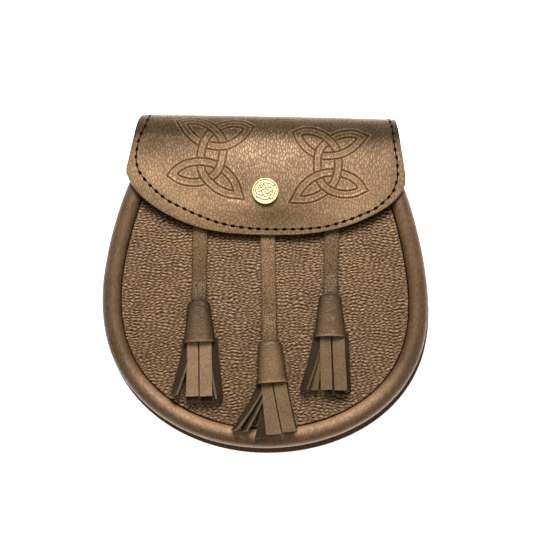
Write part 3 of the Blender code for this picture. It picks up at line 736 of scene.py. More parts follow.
# %% Edge roll
ROLL_STATIONS = 300
ROLL_GIVE = 0.25 * MM       # how far the filling stretches the leather outwards
ROLL_PRESSURE = 60.0        # this and the next two were set by trial, to swell it that far
ROLL_STIFFNESS = 5.0
ROLL_BENDING = 0.2
ROLL_LARGER = 20.0          # the cloth works on a tube this many times as large
ROLL_MOMENTS = 20
STATION_STEP = 1.6          # mm from one station to the next, nearly
ROLL_END_SIZE = 0.45        # of the radius at the very ends
ROLL_END_STATIONS = 5.0     # over which the roll grows to its full radius
# How pale the roll is painted, from its outer edge (0) to its inner edge (1): first on the two
# sides of the pouch, then round its bottom. Both were set to the photo's brightness across the
# roll, so they are mostly painted light: a painted highlight on the inner half round the bottom,
# painted shade across the middle and at the inner edge, and a pale painted rim of bounced light
# at the outer edge.
ROLL_PAINTED_LIGHT = [(0.0, 1.7, 4.4), (0.06, 1.3, 2.6), (0.15, 1.0, 1.3), (0.3, 0.95, 1.1), (0.42, 0.93, 1.35),
             (0.5, 1.0, 2.2), (0.6, 1.2, 2.6), (0.7, 1.35, 2.8), (0.8, 1.15, 3.5), (0.9, 1.0, 2.8),
             (1.0, 0.9, 1.3)]
path, path_outward = outline(ROLL_RADIUS, ROLL_END_Y, ROLL_STATIONS)
roll = open_tube("edge_roll_leather", 24, ROLL_STATIONS - 1)
spots = points_of(roll)
station = np.rint(spots[:, 2]).astype(int)
round_it = np.arctan2(spots[:, 1], spots[:, 0])
from_end = np.minimum(station, ROLL_STATIONS - 1 - station)
swell = ROLL_END_SIZE + (1.0 - ROLL_END_SIZE) * ease(from_end / ROLL_END_STATIONS) ** 0.5
radius = (ROLL_RADIUS - ROLL_GIVE) * swell
travel = station * STATION_STEP
radius = radius * (1.0 + 0.012 * waves(travel, round_it * 1.5, 9.0, 2.2))
places = np.empty_like(spots)
places[:, :2] = path[station] + path_outward[station] * (radius * np.cos(round_it))[:, None]
places[:, 2] = roll_z(path[station][:, 1]) + radius * np.sin(round_it)
move_points(roll, places)
inner = (1.0 - np.cos(round_it)) / 2.0
at, beside, below = zip(*ROLL_PAINTED_LIGHT)
low = ease((-45.0 * MM - places[:, 1]) / (35.0 * MM))       # 0 at the sides, 1 round the bottom
# Painted highlight and painted shade round the roll, stored in its dye attribute.
keep_value(roll, "dye", mix(np.interp(inner, at, beside), np.interp(inner, at, below), low))
only(roll)
bpy.ops.object.mode_set(mode="EDIT")
bpy.ops.mesh.select_all(action="DESELECT")
bpy.ops.mesh.select_mode(type="EDGE")
bpy.ops.mesh.select_non_manifold()
bpy.ops.mesh.fill_holes(sides=0)
bpy.ops.object.mode_set(mode="OBJECT")
outward_and_smooth(roll, 70)

start = points_of(roll)
seam = roll.vertex_groups.new(name="seam")
seam.add([int(i) for i in np.flatnonzero(np.cos(round_it) < -0.9)], 1.0, "REPLACE")
move_points(roll, start * ROLL_LARGER)
only(roll)
filling = roll.modifiers.new("filling", "CLOTH")
filling.settings.vertex_group_mass = "seam"
filling.settings.use_pressure = True
filling.settings.uniform_pressure_force = ROLL_PRESSURE
filling.settings.effector_weights.gravity = 0.0
filling.settings.tension_stiffness = ROLL_STIFFNESS
filling.settings.compression_stiffness = ROLL_STIFFNESS
filling.settings.bending_stiffness = ROLL_BENDING
for moment in range(1, ROLL_MOMENTS + 1):
    bpy.context.scene.frame_set(moment)
bpy.ops.object.modifier_apply(modifier="filling")
bpy.context.scene.frame_set(1)
given = points_of(roll) / ROLL_LARGER - start
reach = np.linalg.norm(given, axis=1)
print("the roll swells by up to", round(reach.max() / MM, 2), "mm before the cap")
move_points(roll, start + given * np.minimum(1.0, ROLL_GIVE / np.maximum(reach, 1e-9))[:, None])
apply_modifier(roll, "SUBSURF", levels=1, render_levels=1)
give(roll, roll_leather)
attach(roll, "root")
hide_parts("edge_roll")
report(roll)

# %% [markdown]
# ## The back, the side wall and the belt loop
# These show only as thin edges from the front, and plainly from behind. The back is one flat
# sheet that stands a little past the roll. The side wall folds inwards between back and front,
# and its leather buckles slightly where the outline turns.

# %% Back panel
BACK_THICK = 2.2 * MM
BACK_PROUD = 1.5 * MM
BACK_TOP_Y = 80.0 * MM
BACK_EDGE_STITCH = 2.5 * MM     # how far inside the roll's outer edge the seam lies

BACK_POINTS = 420
back_edge, _ = outline(-BACK_PROUD, BACK_TOP_Y, BACK_POINTS)
bpy.ops.object.select_all(action="DESELECT")
bpy.ops.mesh.primitive_circle_add(vertices=BACK_POINTS, radius=1.0, fill_type="NGON")
back = named("back_panel_leather")
move_points(back, np.column_stack((back_edge, np.full(BACK_POINTS, BACK_Z))))
apply_modifier(back, "SOLIDIFY", thickness=BACK_THICK, offset=-1.0)
spots = points_of(back)
spots[:, 2] += BACK_Z - spots[:, 2].min()
move_points(back, spots)
round_edges(back, 0.5 * MM)
outward_and_smooth(back, 30)
give(back, back_leather, cut_edge)
for face in back.data.polygons:
    face.material_index = int(abs(face.normal.z) < 0.6)
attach(back, "root")
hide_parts("back_panel")
report(back)

# %% Side wall
GUSSET_THICK = 1.8 * MM
GUSSET_BOW = 1.6 * MM
GUSSET_TOP_Y = 77.5 * MM
GUSSET_STATIONS = 280
GUSSET_ROWS = 12

gusset = flat_grid("gusset_leather", GUSSET_STATIONS, GUSSET_ROWS)
spots = points_of(gusset)
wall, wall_outward = outline(ROLL_RADIUS, GUSSET_TOP_Y, GUSSET_STATIONS + 1)
station = np.rint((spots[:, 0] + 1.0) / 2.0 * GUSSET_STATIONS).astype(int)
share = (spots[:, 1] + 1.0) / 2.0
foot = BACK_Z + BACK_THICK + GAP
head = roll_z(wall[station][:, 1]) - ROLL_RADIUS - GAP
buckle = 0.35 * MM * waves(station * 1.7, share * 9.0, 6.0, 4.4) * np.sin(pi * share)
inwards = GUSSET_BOW * 4.0 * share * (1.0 - share) + buckle
places = np.empty_like(spots)
places[:, :2] = wall[station] - wall_outward[station] * inwards[:, None]
places[:, 2] = mix(foot, head, share)
move_points(gusset, places)
apply_modifier(gusset, "SOLIDIFY", thickness=GUSSET_THICK, offset=0.0)
outward_and_smooth(gusset, 50)
give(gusset, wall_painted_shade)
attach(gusset, "root")
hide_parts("gusset")
report(gusset)

# %% [markdown]
# The belt loop isn't in the photo. It is the plainest one that works: a wide strip sewn down at
# both ends, with room for a kilt belt between it and the back. A flat grid is lowered in its
# middle, between two smooth ramps.

# %% Belt loop
LOOP_THICK = 2.2 * MM
BELT_ROOM = 5.3 * MM
BELT_WIDTH = 60.0 * MM
LOOP_RAMP = 6.0 * MM
LOOP_TAB = 12.0 * MM
LOOP_WIDTH = 70.0 * MM
LOOP_Y = 5.0 * MM

loop = flat_grid("belt_loop_leather", 24, 96)
spots = points_of(loop)
half = BELT_WIDTH / 2.0
reach = spots[:, 1] * (half + LOOP_RAMP + LOOP_TAB)
lifted = ease((np.abs(reach) - half) / LOOP_RAMP)
spots[:, 0] *= LOOP_WIDTH / 2.0
spots[:, 1] = LOOP_Y + reach
spots[:, 2] = lifted * BELT_ROOM
move_points(loop, spots)
apply_modifier(loop, "SOLIDIFY", thickness=LOOP_THICK, offset=1.0)
spots = points_of(loop)
spots[:, 2] -= spots[:, 2].min()
move_points(loop, spots)
round_edges(loop, 0.5 * MM, angle=60)
outward_and_smooth(loop, 30)
give(loop, back_leather, cut_edge)
for face in loop.data.polygons:
    face.material_index = int(abs(face.normal.z) < 0.3 and abs(face.center.x) > 0.49 * LOOP_WIDTH)
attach(loop, "root")
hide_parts("belt_loop")
report(loop)

# %% [markdown]
# ## The flap
# A saddler cuts the flap flat, tools it flat, and only then folds it over the mouth. It is made
# the same way here. A grid is cut to the flap's pattern, given its thickness, and divided finely
# just where the tools go. The tools press the interlaced knots and a groove for the stitches.
# At the end every point is carried from the flat pattern to the folded shape.

# %% [markdown]
# The knot is one endless band that runs through four pointed leaves and passes over and under
# itself in turn, as in old interlace work. The table gives the middle of the band, in millimetres
# from the knot's middle: four arcs, each from the tip of one leaf to the tip of the next. The
# same stamp, mirrored and turned a little, makes the knot on the left.

# %% The knot's stamp
KNOT_ARCS = [
    dict(start="upper_right", points=[
        (18.8, 17.5), (13.8, 19.4), (8.0, 19.1), (2.2, 17.0), (-2.1, 13.8), (-5.5, 10.3), (-7.3, 5.3),
        (-7.5, -0.2), (-7.1, -5.6), (-5.2, -10.6), (-1.7, -14.3), (3.0, -16.7), (8.8, -17.6),
        (14.6, -16.8), (19.4, -14.4)]),
    dict(start="lower_right", points=[
        (19.4, -14.4), (16.9, -10.6), (12.8, -7.4), (8.4, -5.7), (4.5, -4.9), (-0.8, -4.9), (-6.0, -6.3),
        (-11.6, -9.5), (-16.7, -14.8), (-20.0, -21.4)]),
    dict(start="lower_left", points=[
        (-20.0, -21.4), (-14.2, -21.4), (-8.5, -19.9), (-3.9, -17.3), (0.1, -14.1), (2.9, -10.1),
        (4.3, -5.3), (4.8, 0.1), (4.5, 5.0), (3.1, 9.9), (-0.1, 14.4), (-4.2, 17.6), (-9.5, 20.0),
        (-15.4, 20.4), (-20.0, 18.5)]),
    dict(start="upper_left", points=[
        (-20.0, 18.5), (-18.2, 14.7), (-15.0, 10.6), (-11.0, 7.4), (-7.3, 5.7), (-2.3, 5.2), (4.5, 6.1),
        (10.0, 8.5), (15.1, 12.7), (18.8, 17.5)]),
]
BAND = 4.3 * MM             # width of the band, between its two lines
LINE = 1.0 * MM             # width of a pressed line
PRESS = 0.58 * MM           # its depth
STAIN = 0.42 * MM           # how far the dye that gathers in it reaches to each side
LIP = 0.22 * MM             # how high the leather swells beside it
FAR_AWAY = 9.0              # stands for any distance that no longer matters, in mm
KNOT_REACH = 38.0           # no line of a knot lies farther from its middle, in mm
TIP_REACH = 8.5             # this near to a leaf's tip its two arcs hide each other, in mm
END_SHOWN = 4.5             # a line goes on this far past the end of its arc, in mm
CROSSING_REACH = 5.2        # this near to a crossing one band covers the other, in mm
KNOTS = [
    dict(x=36.6 * MM, along=41.0 * MM, turn=0.0, mirror=1.0, size=1.0, swapped=False),
    dict(x=-34.8 * MM, along=36.2 * MM, turn=radians(-6.0), mirror=-1.0, size=1.04, swapped=True),
]


def smooth_line(points, step=0.5):
    """A smooth curve through the points, as many short steps of this length in mm."""
    points = [np.array(p) for p in points]
    padded = [2 * points[0] - points[1]] + points + [2 * points[-1] - points[-2]]
    line = []
    for a, b, c, d in zip(padded, padded[1:], padded[2:], padded[3:]):
        count = max(2, int(np.hypot(*(c - b)) / step))
        for t in np.arange(count) / count:
            line.append(0.5 * ((2 * b) + (c - a) * t + (2 * a - 5 * b + 4 * c - d) * t * t
                               + (3 * b - a - 3 * c + d) * t ** 3))
    line.append(points[-1])
    return np.array(line)


def side_of_line(places, line):
    """Signed distance of each place from a line, and how far along the line it lies."""
    starts = line[:-1]
    runs = line[1:] - starts
    lengths = np.hypot(*runs.T)
    travelled = np.concatenate(([0.0], np.cumsum(lengths)))
    best = np.full(len(places), 1e9)
    signed = np.zeros(len(places))
    where = np.zeros(len(places))
    for start, run, length, before in zip(starts, runs, lengths, travelled):
        offset = places - start
        share = np.clip((offset @ run) / length ** 2, 0.0, 1.0)
        gap = offset - share[:, None] * run
        reach = np.hypot(*gap.T)
        closer = reach < best
        best = np.where(closer, reach, best)
        side = np.sign(run[0] * offset[:, 1] - run[1] * offset[:, 0])
        signed = np.where(closer, side * reach, signed)
        where = np.where(closer, before + share * length, where)
    return signed, where, travelled[-1]


def from_knot_line(x, along, knot):
    """How far each place is from the nearest line of the stamp, in mm, or FAR_AWAY."""
    local = np.column_stack((x - knot["x"], knot["along"] - along)) / MM
    c, s = cos(knot["turn"]), sin(knot["turn"])
    local = local @ np.array(((c, -s), (s, c)))
    local[:, 0] *= knot["mirror"]
    local /= knot["size"]
    near = np.hypot(*local.T) < KNOT_REACH
    result = np.full(len(x), FAR_AWAY)
    places = local[near]
    half = BAND / MM / 2.0
    fields = []
    for arc in KNOT_ARCS:
        line = smooth_line(arc["points"])
        reach = FAR_AWAY
        first = line[0] + (line[0] - line[1]) / np.hypot(*(line[0] - line[1])) * reach
        last = line[-1] + (line[-1] - line[-2]) / np.hypot(*(line[-1] - line[-2])) * reach
        signed, where, total = side_of_line(places, np.vstack((first, line, last)))
        fields.append(dict(signed=signed, where=where, total=total, reach=reach, line=line))
    tips = [(i, i - 1) for i in range(len(KNOT_ARCS))]
    bands = [np.abs(f["signed"]) for f in fields]
    for i, f in enumerate(fields):
        lines = np.abs(bands[i] - half)
        keep = np.ones(len(places), dtype=bool)
        # At a leaf's tip the two arcs meet in a point, and each is hidden past the other.
        for after, before in tips:
            if i not in (after, before % 4):
                continue
            j = before % 4 if i == after else after
            corner = KNOT_ARCS[after]["points"][0]
            by_tip = np.hypot(places[:, 0] - corner[0], places[:, 1] - corner[1]) < TIP_REACH
            inner = np.array(corner) * 0.6
            mine = f["signed"] * leaf_side(f, inner)
            other = fields[j]["signed"] * leaf_side(fields[j], inner)
            keep &= ~by_tip | (mine >= other - 0.01)
        shown_from = f["reach"] - END_SHOWN
        keep &= (f["where"] >= shown_from) & (f["where"] <= f["total"] - shown_from)
        f["away"] = np.where(keep, lines, FAR_AWAY)
    # Where two bands cross, the lower one's lines are hidden under the upper one.
    for i, j, place, upper in CROSSINGS:
        by = np.hypot(places[:, 0] - place[0], places[:, 1] - place[1]) < CROSSING_REACH
        upper = i + j - upper if knot["swapped"] else upper
        lower = i + j - upper
        cover = by & (bands[upper] < half - 0.05)
        fields[lower]["away"] = np.where(cover, FAR_AWAY, fields[lower]["away"])
    result[near] = np.min([f["away"] for f in fields], axis=0) * knot["size"]
    return result


def leaf_side(field, inner):
    """1 if a positive distance points out of the leaf whose inside holds inner, or else -1."""
    signed, _, _ = side_of_line(np.array([inner]), field["line"])
    return -1.0 if signed[0] > 0.0 else 1.0


# arcs that cross, where, and the one on top
CROSSINGS = [
    (0, 2, (-1.6, 14.8), 2),
    (0, 3, (-7.2, 5.6), 0),
    (0, 1, (-7.0, -6.4), 1),
    (0, 2, (-0.4, -14.6), 0),
    (1, 2, (4.4, -4.9), 2),
    (2, 3, (4.5, 6.1), 3),
]

# %% [markdown]
# The stitches run in a shallow groove inside the edge. A table gives the line in millimetres on
# the flat pattern, from the left end of the fold round the lower edge to its right end: how far
# across, and how far along the leather from the middle of the fold.

# %% The stitch line
STITCH_LINE = [
    (-72.0, -4.0), (-72.5, 7.8), (-74.0, 17.4), (-76.0, 22.5), (-77.7, 28.6), (-78.3, 34.0), (-78.4, 39.5),
    (-76.8, 45.2), (-73.8, 50.3), (-66.1, 58.2), (-57.5, 64.6), (-48.1, 69.2), (-38.1, 73.4),
    (-28.3, 76.7), (-17.8, 78.8), (-7.7, 79.8), (3.9, 80.0), (14.2, 79.7), (24.6, 79.1), (34.9, 77.6),
    (45.5, 74.4), (55.5, 70.3), (64.4, 65.7), (72.6, 57.7), (74.8, 52.9), (76.2, 47.7), (76.1, 42.0),
    (75.7, 36.5), (73.9, 26.4), (73.0, 18.7), (71.0, 7.3), (70.5, -4.0)]
STITCH_PITCH = 5.05 * MM

stitches_flat = smooth_line(STITCH_LINE, step=0.8) * MM
print("stitch line:", round(np.hypot(*np.diff(stitches_flat, axis=0).T).sum() / MM), "mm")

# %% [markdown]
# In the photo the flap is dark in a band below the fold and below the stud, and pale between.
# This is light on its satin surface, and here it is painted into the dye: painted shade in the
# dark places and painted highlight in the pale ones. The two tables were set by comparing the
# render's brightness with the photo's. The first gives the painted shade along the leather. Each
# row of the second is one soft patch on the flat pattern, in mm: its middle, its reach across and
# along, and how much it darkens (below 0) or lightens (above 0) the colour.

# %% Where the flap's shade and highlight are painted
FOLD_PAINTED_SHADE = [(-99, 1.0), (-5.0, 1.0), (0.0, 0.95), (8.0, 0.95), (11.0, 0.42), (15.0, 0.30), (20.0, 0.25),
             (22.5, 0.31), (24.5, 0.56), (26.0, 0.78), (29.0, 0.98), (33.0, 1.05), (45.0, 1.02),
             (55.0, 1.0), (99, 1.0)]
PAINTED_LIGHT_PATCHES = [(8.0, 72.5, 20.0, 7.0, -0.44), (-40.0, 68.0, 18.0, 10.0, 0.24), (49.0, 67.0, 14.0, 11.0, 0.26),
            (-2.0, 33.0, 24.0, 8.0, 0.16), (60.0, 25.5, 26.0, 6.5, -0.42), (-66.0, 29.0, 25.0, 8.0, -0.50),
            (76.0, 45.0, 6.0, 24.0, -0.12), (-12.0, 40.0, 22.0, 10.0, 0.12), (-46.0, 61.0, 18.0, 8.0, 0.20),
            (-66.0, 49.0, 14.0, 9.0, 0.42), (-16.0, 64.5, 15.0, 4.5, 0.35), (66.0, 59.0, 12.0, 7.0, 0.22),
            (-13.0, 51.0, 14.0, 7.0, -0.14)]


def flap_painted_light(x, along):
    """How dark or pale the flap is painted at each place on the flat pattern: painted shade and painted
    highlight.
    """
    tone = np.interp(along / MM, *zip(*FOLD_PAINTED_SHADE))
    for middle_x, middle_along, wide, long, change in PAINTED_LIGHT_PATCHES:
        away = ((x / MM - middle_x) / wide) ** 2 + ((along / MM - middle_along) / long) ** 2
        tone = tone * (1.0 + change * np.exp(-away))
    return tone


# %% Cut, tool and fold the flap
FLAP_COLUMNS = 64
FLAP_ROWS = (9, 18, 24)     # on the rear leg, round the fold, and in front
TOOL_CUTS = 7
GROOVE = 0.9 * MM           # width of the stitch groove
GROOVE_DEPTH = 0.16 * MM
FINE_BY_GROOVE = 2.2 * MM   # the faces this near to the stitches are divided finely
FINE_BY_KNOT = (26.5 * MM, 27.5 * MM)   # and so are those this near to a knot's middle

flap = flat_grid("flap_leather", FLAP_COLUMNS, sum(FLAP_ROWS))
spots = points_of(flap)
u = spots[:, 0].copy()
row = (spots[:, 1] + 1.0) / 2.0 * sum(FLAP_ROWS)
rear, bend, front = FLAP_ROWS
along = np.interp(row, (0, rear, rear + bend), (REAR_END, -FOLD_END, FOLD_END))
along = np.where(row > rear + bend, mix(FOLD_END, flap_end(u), (row - rear - bend) / front), along)
spots[:, 0] = FLAP_X + u * flap_half_width(along)
spots[:, 1] = along
spots[:, 2] = FLAP_THICK / 2.0
move_points(flap, spots)
apply_modifier(flap, "SOLIDIFY", thickness=FLAP_THICK, offset=-1.0)
spots = points_of(flap)
spots[:, 2] += FLAP_THICK / 2.0 - spots[:, 2].max()
move_points(flap, spots)
round_edges(flap, 0.55 * MM)

groove_spots = stitches_flat[::2]
tooled = []
for face in flap.data.polygons:
    middle = np.array(face.center)
    on_top = face.normal.z > 0.9
    in_knot = any((np.abs(middle[:2] - (knot["x"], knot["along"])) < FINE_BY_KNOT).all()
                  for knot in KNOTS)
    by_groove = np.hypot(*(groove_spots - middle[:2]).T).min() < FINE_BY_GROOVE
    tooled.append(on_top and (in_knot or by_groove))
choose_faces(flap, tooled)
bpy.ops.mesh.subdivide(number_cuts=TOOL_CUTS)
bpy.ops.object.mode_set(mode="OBJECT")

spots = points_of(flap)
top = spots[:, 2] > FLAP_THICK / 2.0 - 0.05 * MM
from_line = np.full(len(spots), FAR_AWAY)
for knot in KNOTS:
    from_line[top] = np.minimum(from_line[top], from_knot_line(spots[top, 0], spots[top, 1], knot))
pressed = 1.0 - ease((from_line - 0.08) / (LINE / MM / 2.0))
stain = 1.0 - ease(from_line / STAIN * MM)
lip = np.exp(-((from_line - LINE / MM) / 0.35) ** 2)
from_stitches = np.abs(side_of_line(spots[top, :2], groove_spots)[0])
groove = np.zeros(len(spots))
groove[top] = 1.0 - ease(from_stitches / (GROOVE / 2.0))
spots[:, 2] += LIP * lip - PRESS * pressed - GROOVE_DEPTH * groove
tone = flap_painted_light(spots[:, 0], spots[:, 1])
bent = 1.0 - ease((spots[:, 1] - 21.0 * MM) / (13.0 * MM))  # 1 at the fold, where the shade is painted dark
stain *= 1.0 - 0.85 * bent
# The lips beside the knot's lines are made paler in the painted dark band: a painted highlight.
keep_value(flap, "dye", tone + 0.25 * lip * (1.0 - ease((tone - 0.3) / 0.4)))
move_points(flap, fold_flap(spots))
# The lips go above 1 here: a painted highlight, paler and glossier.
keep_value(flap, "relief", 1.0 + 0.3 * lip - np.maximum(0.85 * stain, 0.5 * groove))
give(flap, flap_leather, cut_edge)
outward_and_smooth(flap, 50)
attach(flap, "root")
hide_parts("flap")
report(flap)

# %% [markdown]
# ## The stitches
# A saddle stitch shows as a short length of thread that dives into a dark awl hole at either
# end. One stitch is modelled, a thin capsule, and copied along the line. Each hole is a flat lens
# of near black thread laid on the leather: painted shade for the hole.

# %% Stitches of the flap
def one_stitch(name):
    """A small ball, which each stitch stretches to the length of its thread or its hole."""
    bpy.ops.object.select_all(action="DESELECT")
    bpy.ops.mesh.primitive_uv_sphere_add(segments=8, ring_count=6, radius=0.5)
    return named(name)


def lay_stitches(name, places, directions, normals, length, width, height, finish):
    """Copies of one stitch, each turned and sized into its place."""
    model = one_stitch(name + "_model")
    shape = points_of(model)
    copies = []
    for place, direction, normal in zip(places, directions, normals):
        copy = model.copy()
        copy.data = model.data.copy()
        bpy.context.scene.collection.objects.link(copy)
        side = np.cross(normal, direction)
        spots = (place + shape[:, :1] * length * direction + shape[:, 1:2] * width * side
                 + shape[:, 2:] * height * normal)
        move_points(copy, spots)
        copies.append(copy)
    bpy.data.objects.remove(model, do_unlink=True)
    whole = join_all(copies, name)
    give(whole, finish)
    outward_and_smooth(whole, 60)
    return whole


def on_flap(flat, above):
    """Places, directions along the line and normals on the folded flap."""
    spots = fold_flap(np.column_stack((flat, np.full(len(flat), FLAP_THICK / 2.0 + above))))
    higher = fold_flap(np.column_stack((flat, np.full(len(flat), FLAP_THICK / 2.0 + 1.0 * MM))))
    directions = np.gradient(spots, axis=0)
    directions /= np.linalg.norm(directions, axis=1)[:, None]
    normals = higher - fold_flap(np.column_stack((flat, np.full(len(flat), FLAP_THICK / 2.0))))
    normals /= np.linalg.norm(normals, axis=1)[:, None]
    return spots, directions, normals


run = np.concatenate(([0.0], np.cumsum(np.hypot(*np.diff(stitches_flat, axis=0).T))))
count = int(run[-1] / STITCH_PITCH)
middles = (np.arange(count) + 0.5) * STITCH_PITCH
flat_holes = np.column_stack([np.interp(middles, run, stitches_flat[:, i]) for i in (0, 1)])
flat_threads = np.column_stack([np.interp(middles + STITCH_PITCH / 2.0, run, stitches_flat[:, i])
                                for i in (0, 1)])
# The holes are flat dark lenses, not openings: painted shade.
holes = lay_stitches("flap_awl_holes", *on_flap(flat_holes, 0.0), 3.1 * MM, 1.9 * MM,
                     0.34 * MM, thread)
threads = lay_stitches("flap_threads", *on_flap(flat_threads, -0.2 * MM), 4.4 * MM, 0.7 * MM,
                       0.5 * MM, thread)
stitching = join_all([holes, threads], "flap_stitches")
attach(stitching, "root")
report(stitching)

# %% [markdown]
# The same stitch holds the pouch together behind: round the edge of the back, across both ends of
# the belt loop, and across the flap's rear leg. On these faces it points down, away from the pouch.

# %% Stitches behind
def lay_below(name, line, z):
    """Stitches along a line of (x, y) places, on a face at this height that looks downwards."""
    gone = np.concatenate(([0.0], np.cumsum(np.hypot(*np.diff(line, axis=0).T))))
    count = int(gone[-1] / STITCH_PITCH)
    wanted = (np.arange(count) + 0.5) * gone[-1] / count
    flat = np.column_stack([np.interp(wanted, gone, line[:, i]) for i in (0, 1)])
    spots = np.column_stack((flat, np.full(count, z)))
    directions = np.gradient(spots, axis=0)
    directions /= np.linalg.norm(directions, axis=1)[:, None]
    down = np.tile((0.0, 0.0, -1.0), (count, 1))
    return lay_stitches(name, spots, directions, down, 3.6 * MM, 0.8 * MM, 0.5 * MM, thread)


def level_line(half, y):
    return np.array([(-half, y), (half, y)])


edge_line, _ = outline(BACK_EDGE_STITCH, BACK_TOP_Y, 300)
rows = [lay_below("back_edge", edge_line[edge_line[:, 1] < FLAP_BACK_Y - 2.0 * MM], BACK_Z)]
for end in (-1.0, 1.0):
    for inwards in (3.0 * MM, 9.0 * MM):
        y = LOOP_Y + end * (BELT_WIDTH / 2.0 + LOOP_RAMP + LOOP_TAB - inwards)
        rows.append(lay_below("loop_end", level_line(LOOP_WIDTH / 2.0 - 4.0 * MM, y), BELT_ROOM))
rear_face = REAR_Z - FLAP_THICK / 2.0
rear_line = level_line(FOLD_HALF_WIDTH - 12.0 * MM, FLAP_BACK_Y + 4.0 * MM)
rows.append(lay_below("flap_rear", rear_line, rear_face))
hidden_stitching = join_all(rows, "stitches_behind")
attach(hidden_stitching, "root")
report(hidden_stitching)

# %% [markdown]
# ## The stud
# The stud is a brass disc struck in a die: a raised rim, and inside it a knot of four bars and
# four arcs. A profile from its middle to its back is spun round its axis, and the die's relief
# is pressed into the face. The hollows keep a little dark tarnish when the rest is polished.

# %% Stud
STUD_RADIUS = 7.8 * MM
STUD_X = -0.9 * MM
STUD_Y = 50.05 * MM
STUD_FIELD = 1.5 * MM
STUD_RIM_WIDTH = 1.1 * MM
STUD_SLOPE = 0.35 * MM
STUD_RELIEF = 0.38 * MM
STUD_BAND = 1.4 * MM        # width of a band of the knot
STUD_STEPS = 144
STUD_RINGS = 56
# The knot has one bar and one arc for each quarter, given here in mm from its middle. The arcs
# sweep round the outside, and the bars cross between them.
STUD_KNOT_Y = 0.45 * MM
STUD_BAR = [(-3.6, -0.2), (-2.15, 0.6), (-0.7, 1.4)]
STUD_ARC = [(-2.45, 2.2), (-2.2, 3.4), (-1.6, 4.4), (-0.6, 4.95), (0.9, 5.0), (2.7, 4.35), (4.6, 3.45)]

stud_base = fold_flap(np.array([[0.0, FOLD_END + FOLD_Y - STUD_Y, FLAP_THICK / 2.0]]))[0, 2] + GAP


def on_rim_of_stud(x, y):
    """1 on the raised rim, 0 inside it, and a short slope between."""
    return ease((np.hypot(x, y) - STUD_RADIUS + STUD_RIM_WIDTH) / STUD_SLOPE)


def struck_relief(x, y):
    """Height of the struck face, from 0 in its field to 1 on the rim."""
    raised = on_rim_of_stud(x, y)
    places = np.column_stack((x, y - STUD_KNOT_Y)) / MM
    half = STUD_BAND / MM / 2.0
    for quarter in range(4):
        c, s = cos(quarter * pi / 2.0), sin(quarter * pi / 2.0)
        turned = places @ np.array(((c, -s), (s, c)))
        for points in (STUD_BAR, STUD_ARC):
            reach = np.abs(side_of_line(turned, smooth_line(points, 0.3))[0])
            raised = np.maximum(raised, 1.0 - ease((reach - 0.55 * half) / (0.7 * half)))
    return raised


profile = [(STUD_RADIUS * 0.975 * i / STUD_RINGS, None) for i in range(STUD_RINGS + 1)]
profile += [(STUD_RADIUS, STUD_FIELD + 0.6 * STUD_RELIEF), (STUD_RADIUS, 0.3 * MM),
            (STUD_RADIUS - 0.4 * MM, 0.0), (0.0, 0.0)]
bpy.ops.object.select_all(action="DESELECT")
bpy.ops.mesh.primitive_plane_add(size=1.0)
stud = named("stud_brass")
bpy.ops.object.mode_set(mode="EDIT")
bpy.ops.mesh.select_mode(type="VERT")
bpy.ops.mesh.select_all(action="SELECT")
bpy.ops.mesh.merge(type="CENTER")
for radius, height in profile[1:]:
    bpy.ops.mesh.extrude_vertices_move(TRANSFORM_OT_translate={"value": (0.001, 0.0, 0.0)})
bpy.ops.object.mode_set(mode="OBJECT")
line = np.array([(r, 0.0, STUD_FIELD if h is None else h) for r, h in profile])
move_points(stud, line)
only(stud)
bpy.ops.object.mode_set(mode="EDIT")
bpy.ops.mesh.select_all(action="SELECT")
bpy.ops.mesh.spin(steps=STUD_STEPS, angle=2.0 * pi, center=(0.0, 0.0, 0.0), axis=(0.0, 0.0, 1.0))
bpy.ops.mesh.select_all(action="SELECT")
bpy.ops.mesh.remove_doubles(threshold=0.002 * MM)
bpy.ops.object.mode_set(mode="OBJECT")
spots = points_of(stud)
from_axis = np.hypot(spots[:, 0], spots[:, 1])
on_face = (spots[:, 2] > STUD_FIELD - 0.01 * MM) & (from_axis < STUD_RADIUS * 0.98)
raised = np.ones(len(spots))
raised[on_face] = struck_relief(spots[on_face, 0], spots[on_face, 1])
spots[on_face, 2] = STUD_FIELD + STUD_RELIEF * raised[on_face]
keep_value(stud, "relief", raised - 0.75 * on_rim_of_stud(spots[:, 0], spots[:, 1]))    # the rim darker than the knot
spots[:, 0] += STUD_X
spots[:, 1] += STUD_Y
spots[:, 2] += stud_base
move_points(stud, spots)
outward_and_smooth(stud, 50)
give(stud, brass)
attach(stud, "root")
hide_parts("stud")
report(stud)

# %% [markdown]
# ## The tassels
# Each tassel hangs on a flat strap that comes from under the flap. A wrap of thin leather holds
# the head, and the strips spread below it. A table gives where each one hangs, and how its
# strips lie. The middle one has swung to the right and opened to the left.

# %% Where the tassels hang
STRAP_WIDTH = 8.8 * MM
STRAP_THICK = 1.8 * MM
STRAP_ROOT_Y = 37.0 * MM
STRAP_TUCK = 7.0 * MM
CAP_WALL = 1.5 * MM
CAP_TOP_HEIGHT = 9.0 * MM
CAP_MOUTH_HEIGHT = 11.5 * MM
CAP_SHOULDER = 2.6 * MM
SLOT_ROOM = 0.9 * MM
STRIP_THICK = 1.4 * MM
STRIP_AHEAD = 4.5 * MM

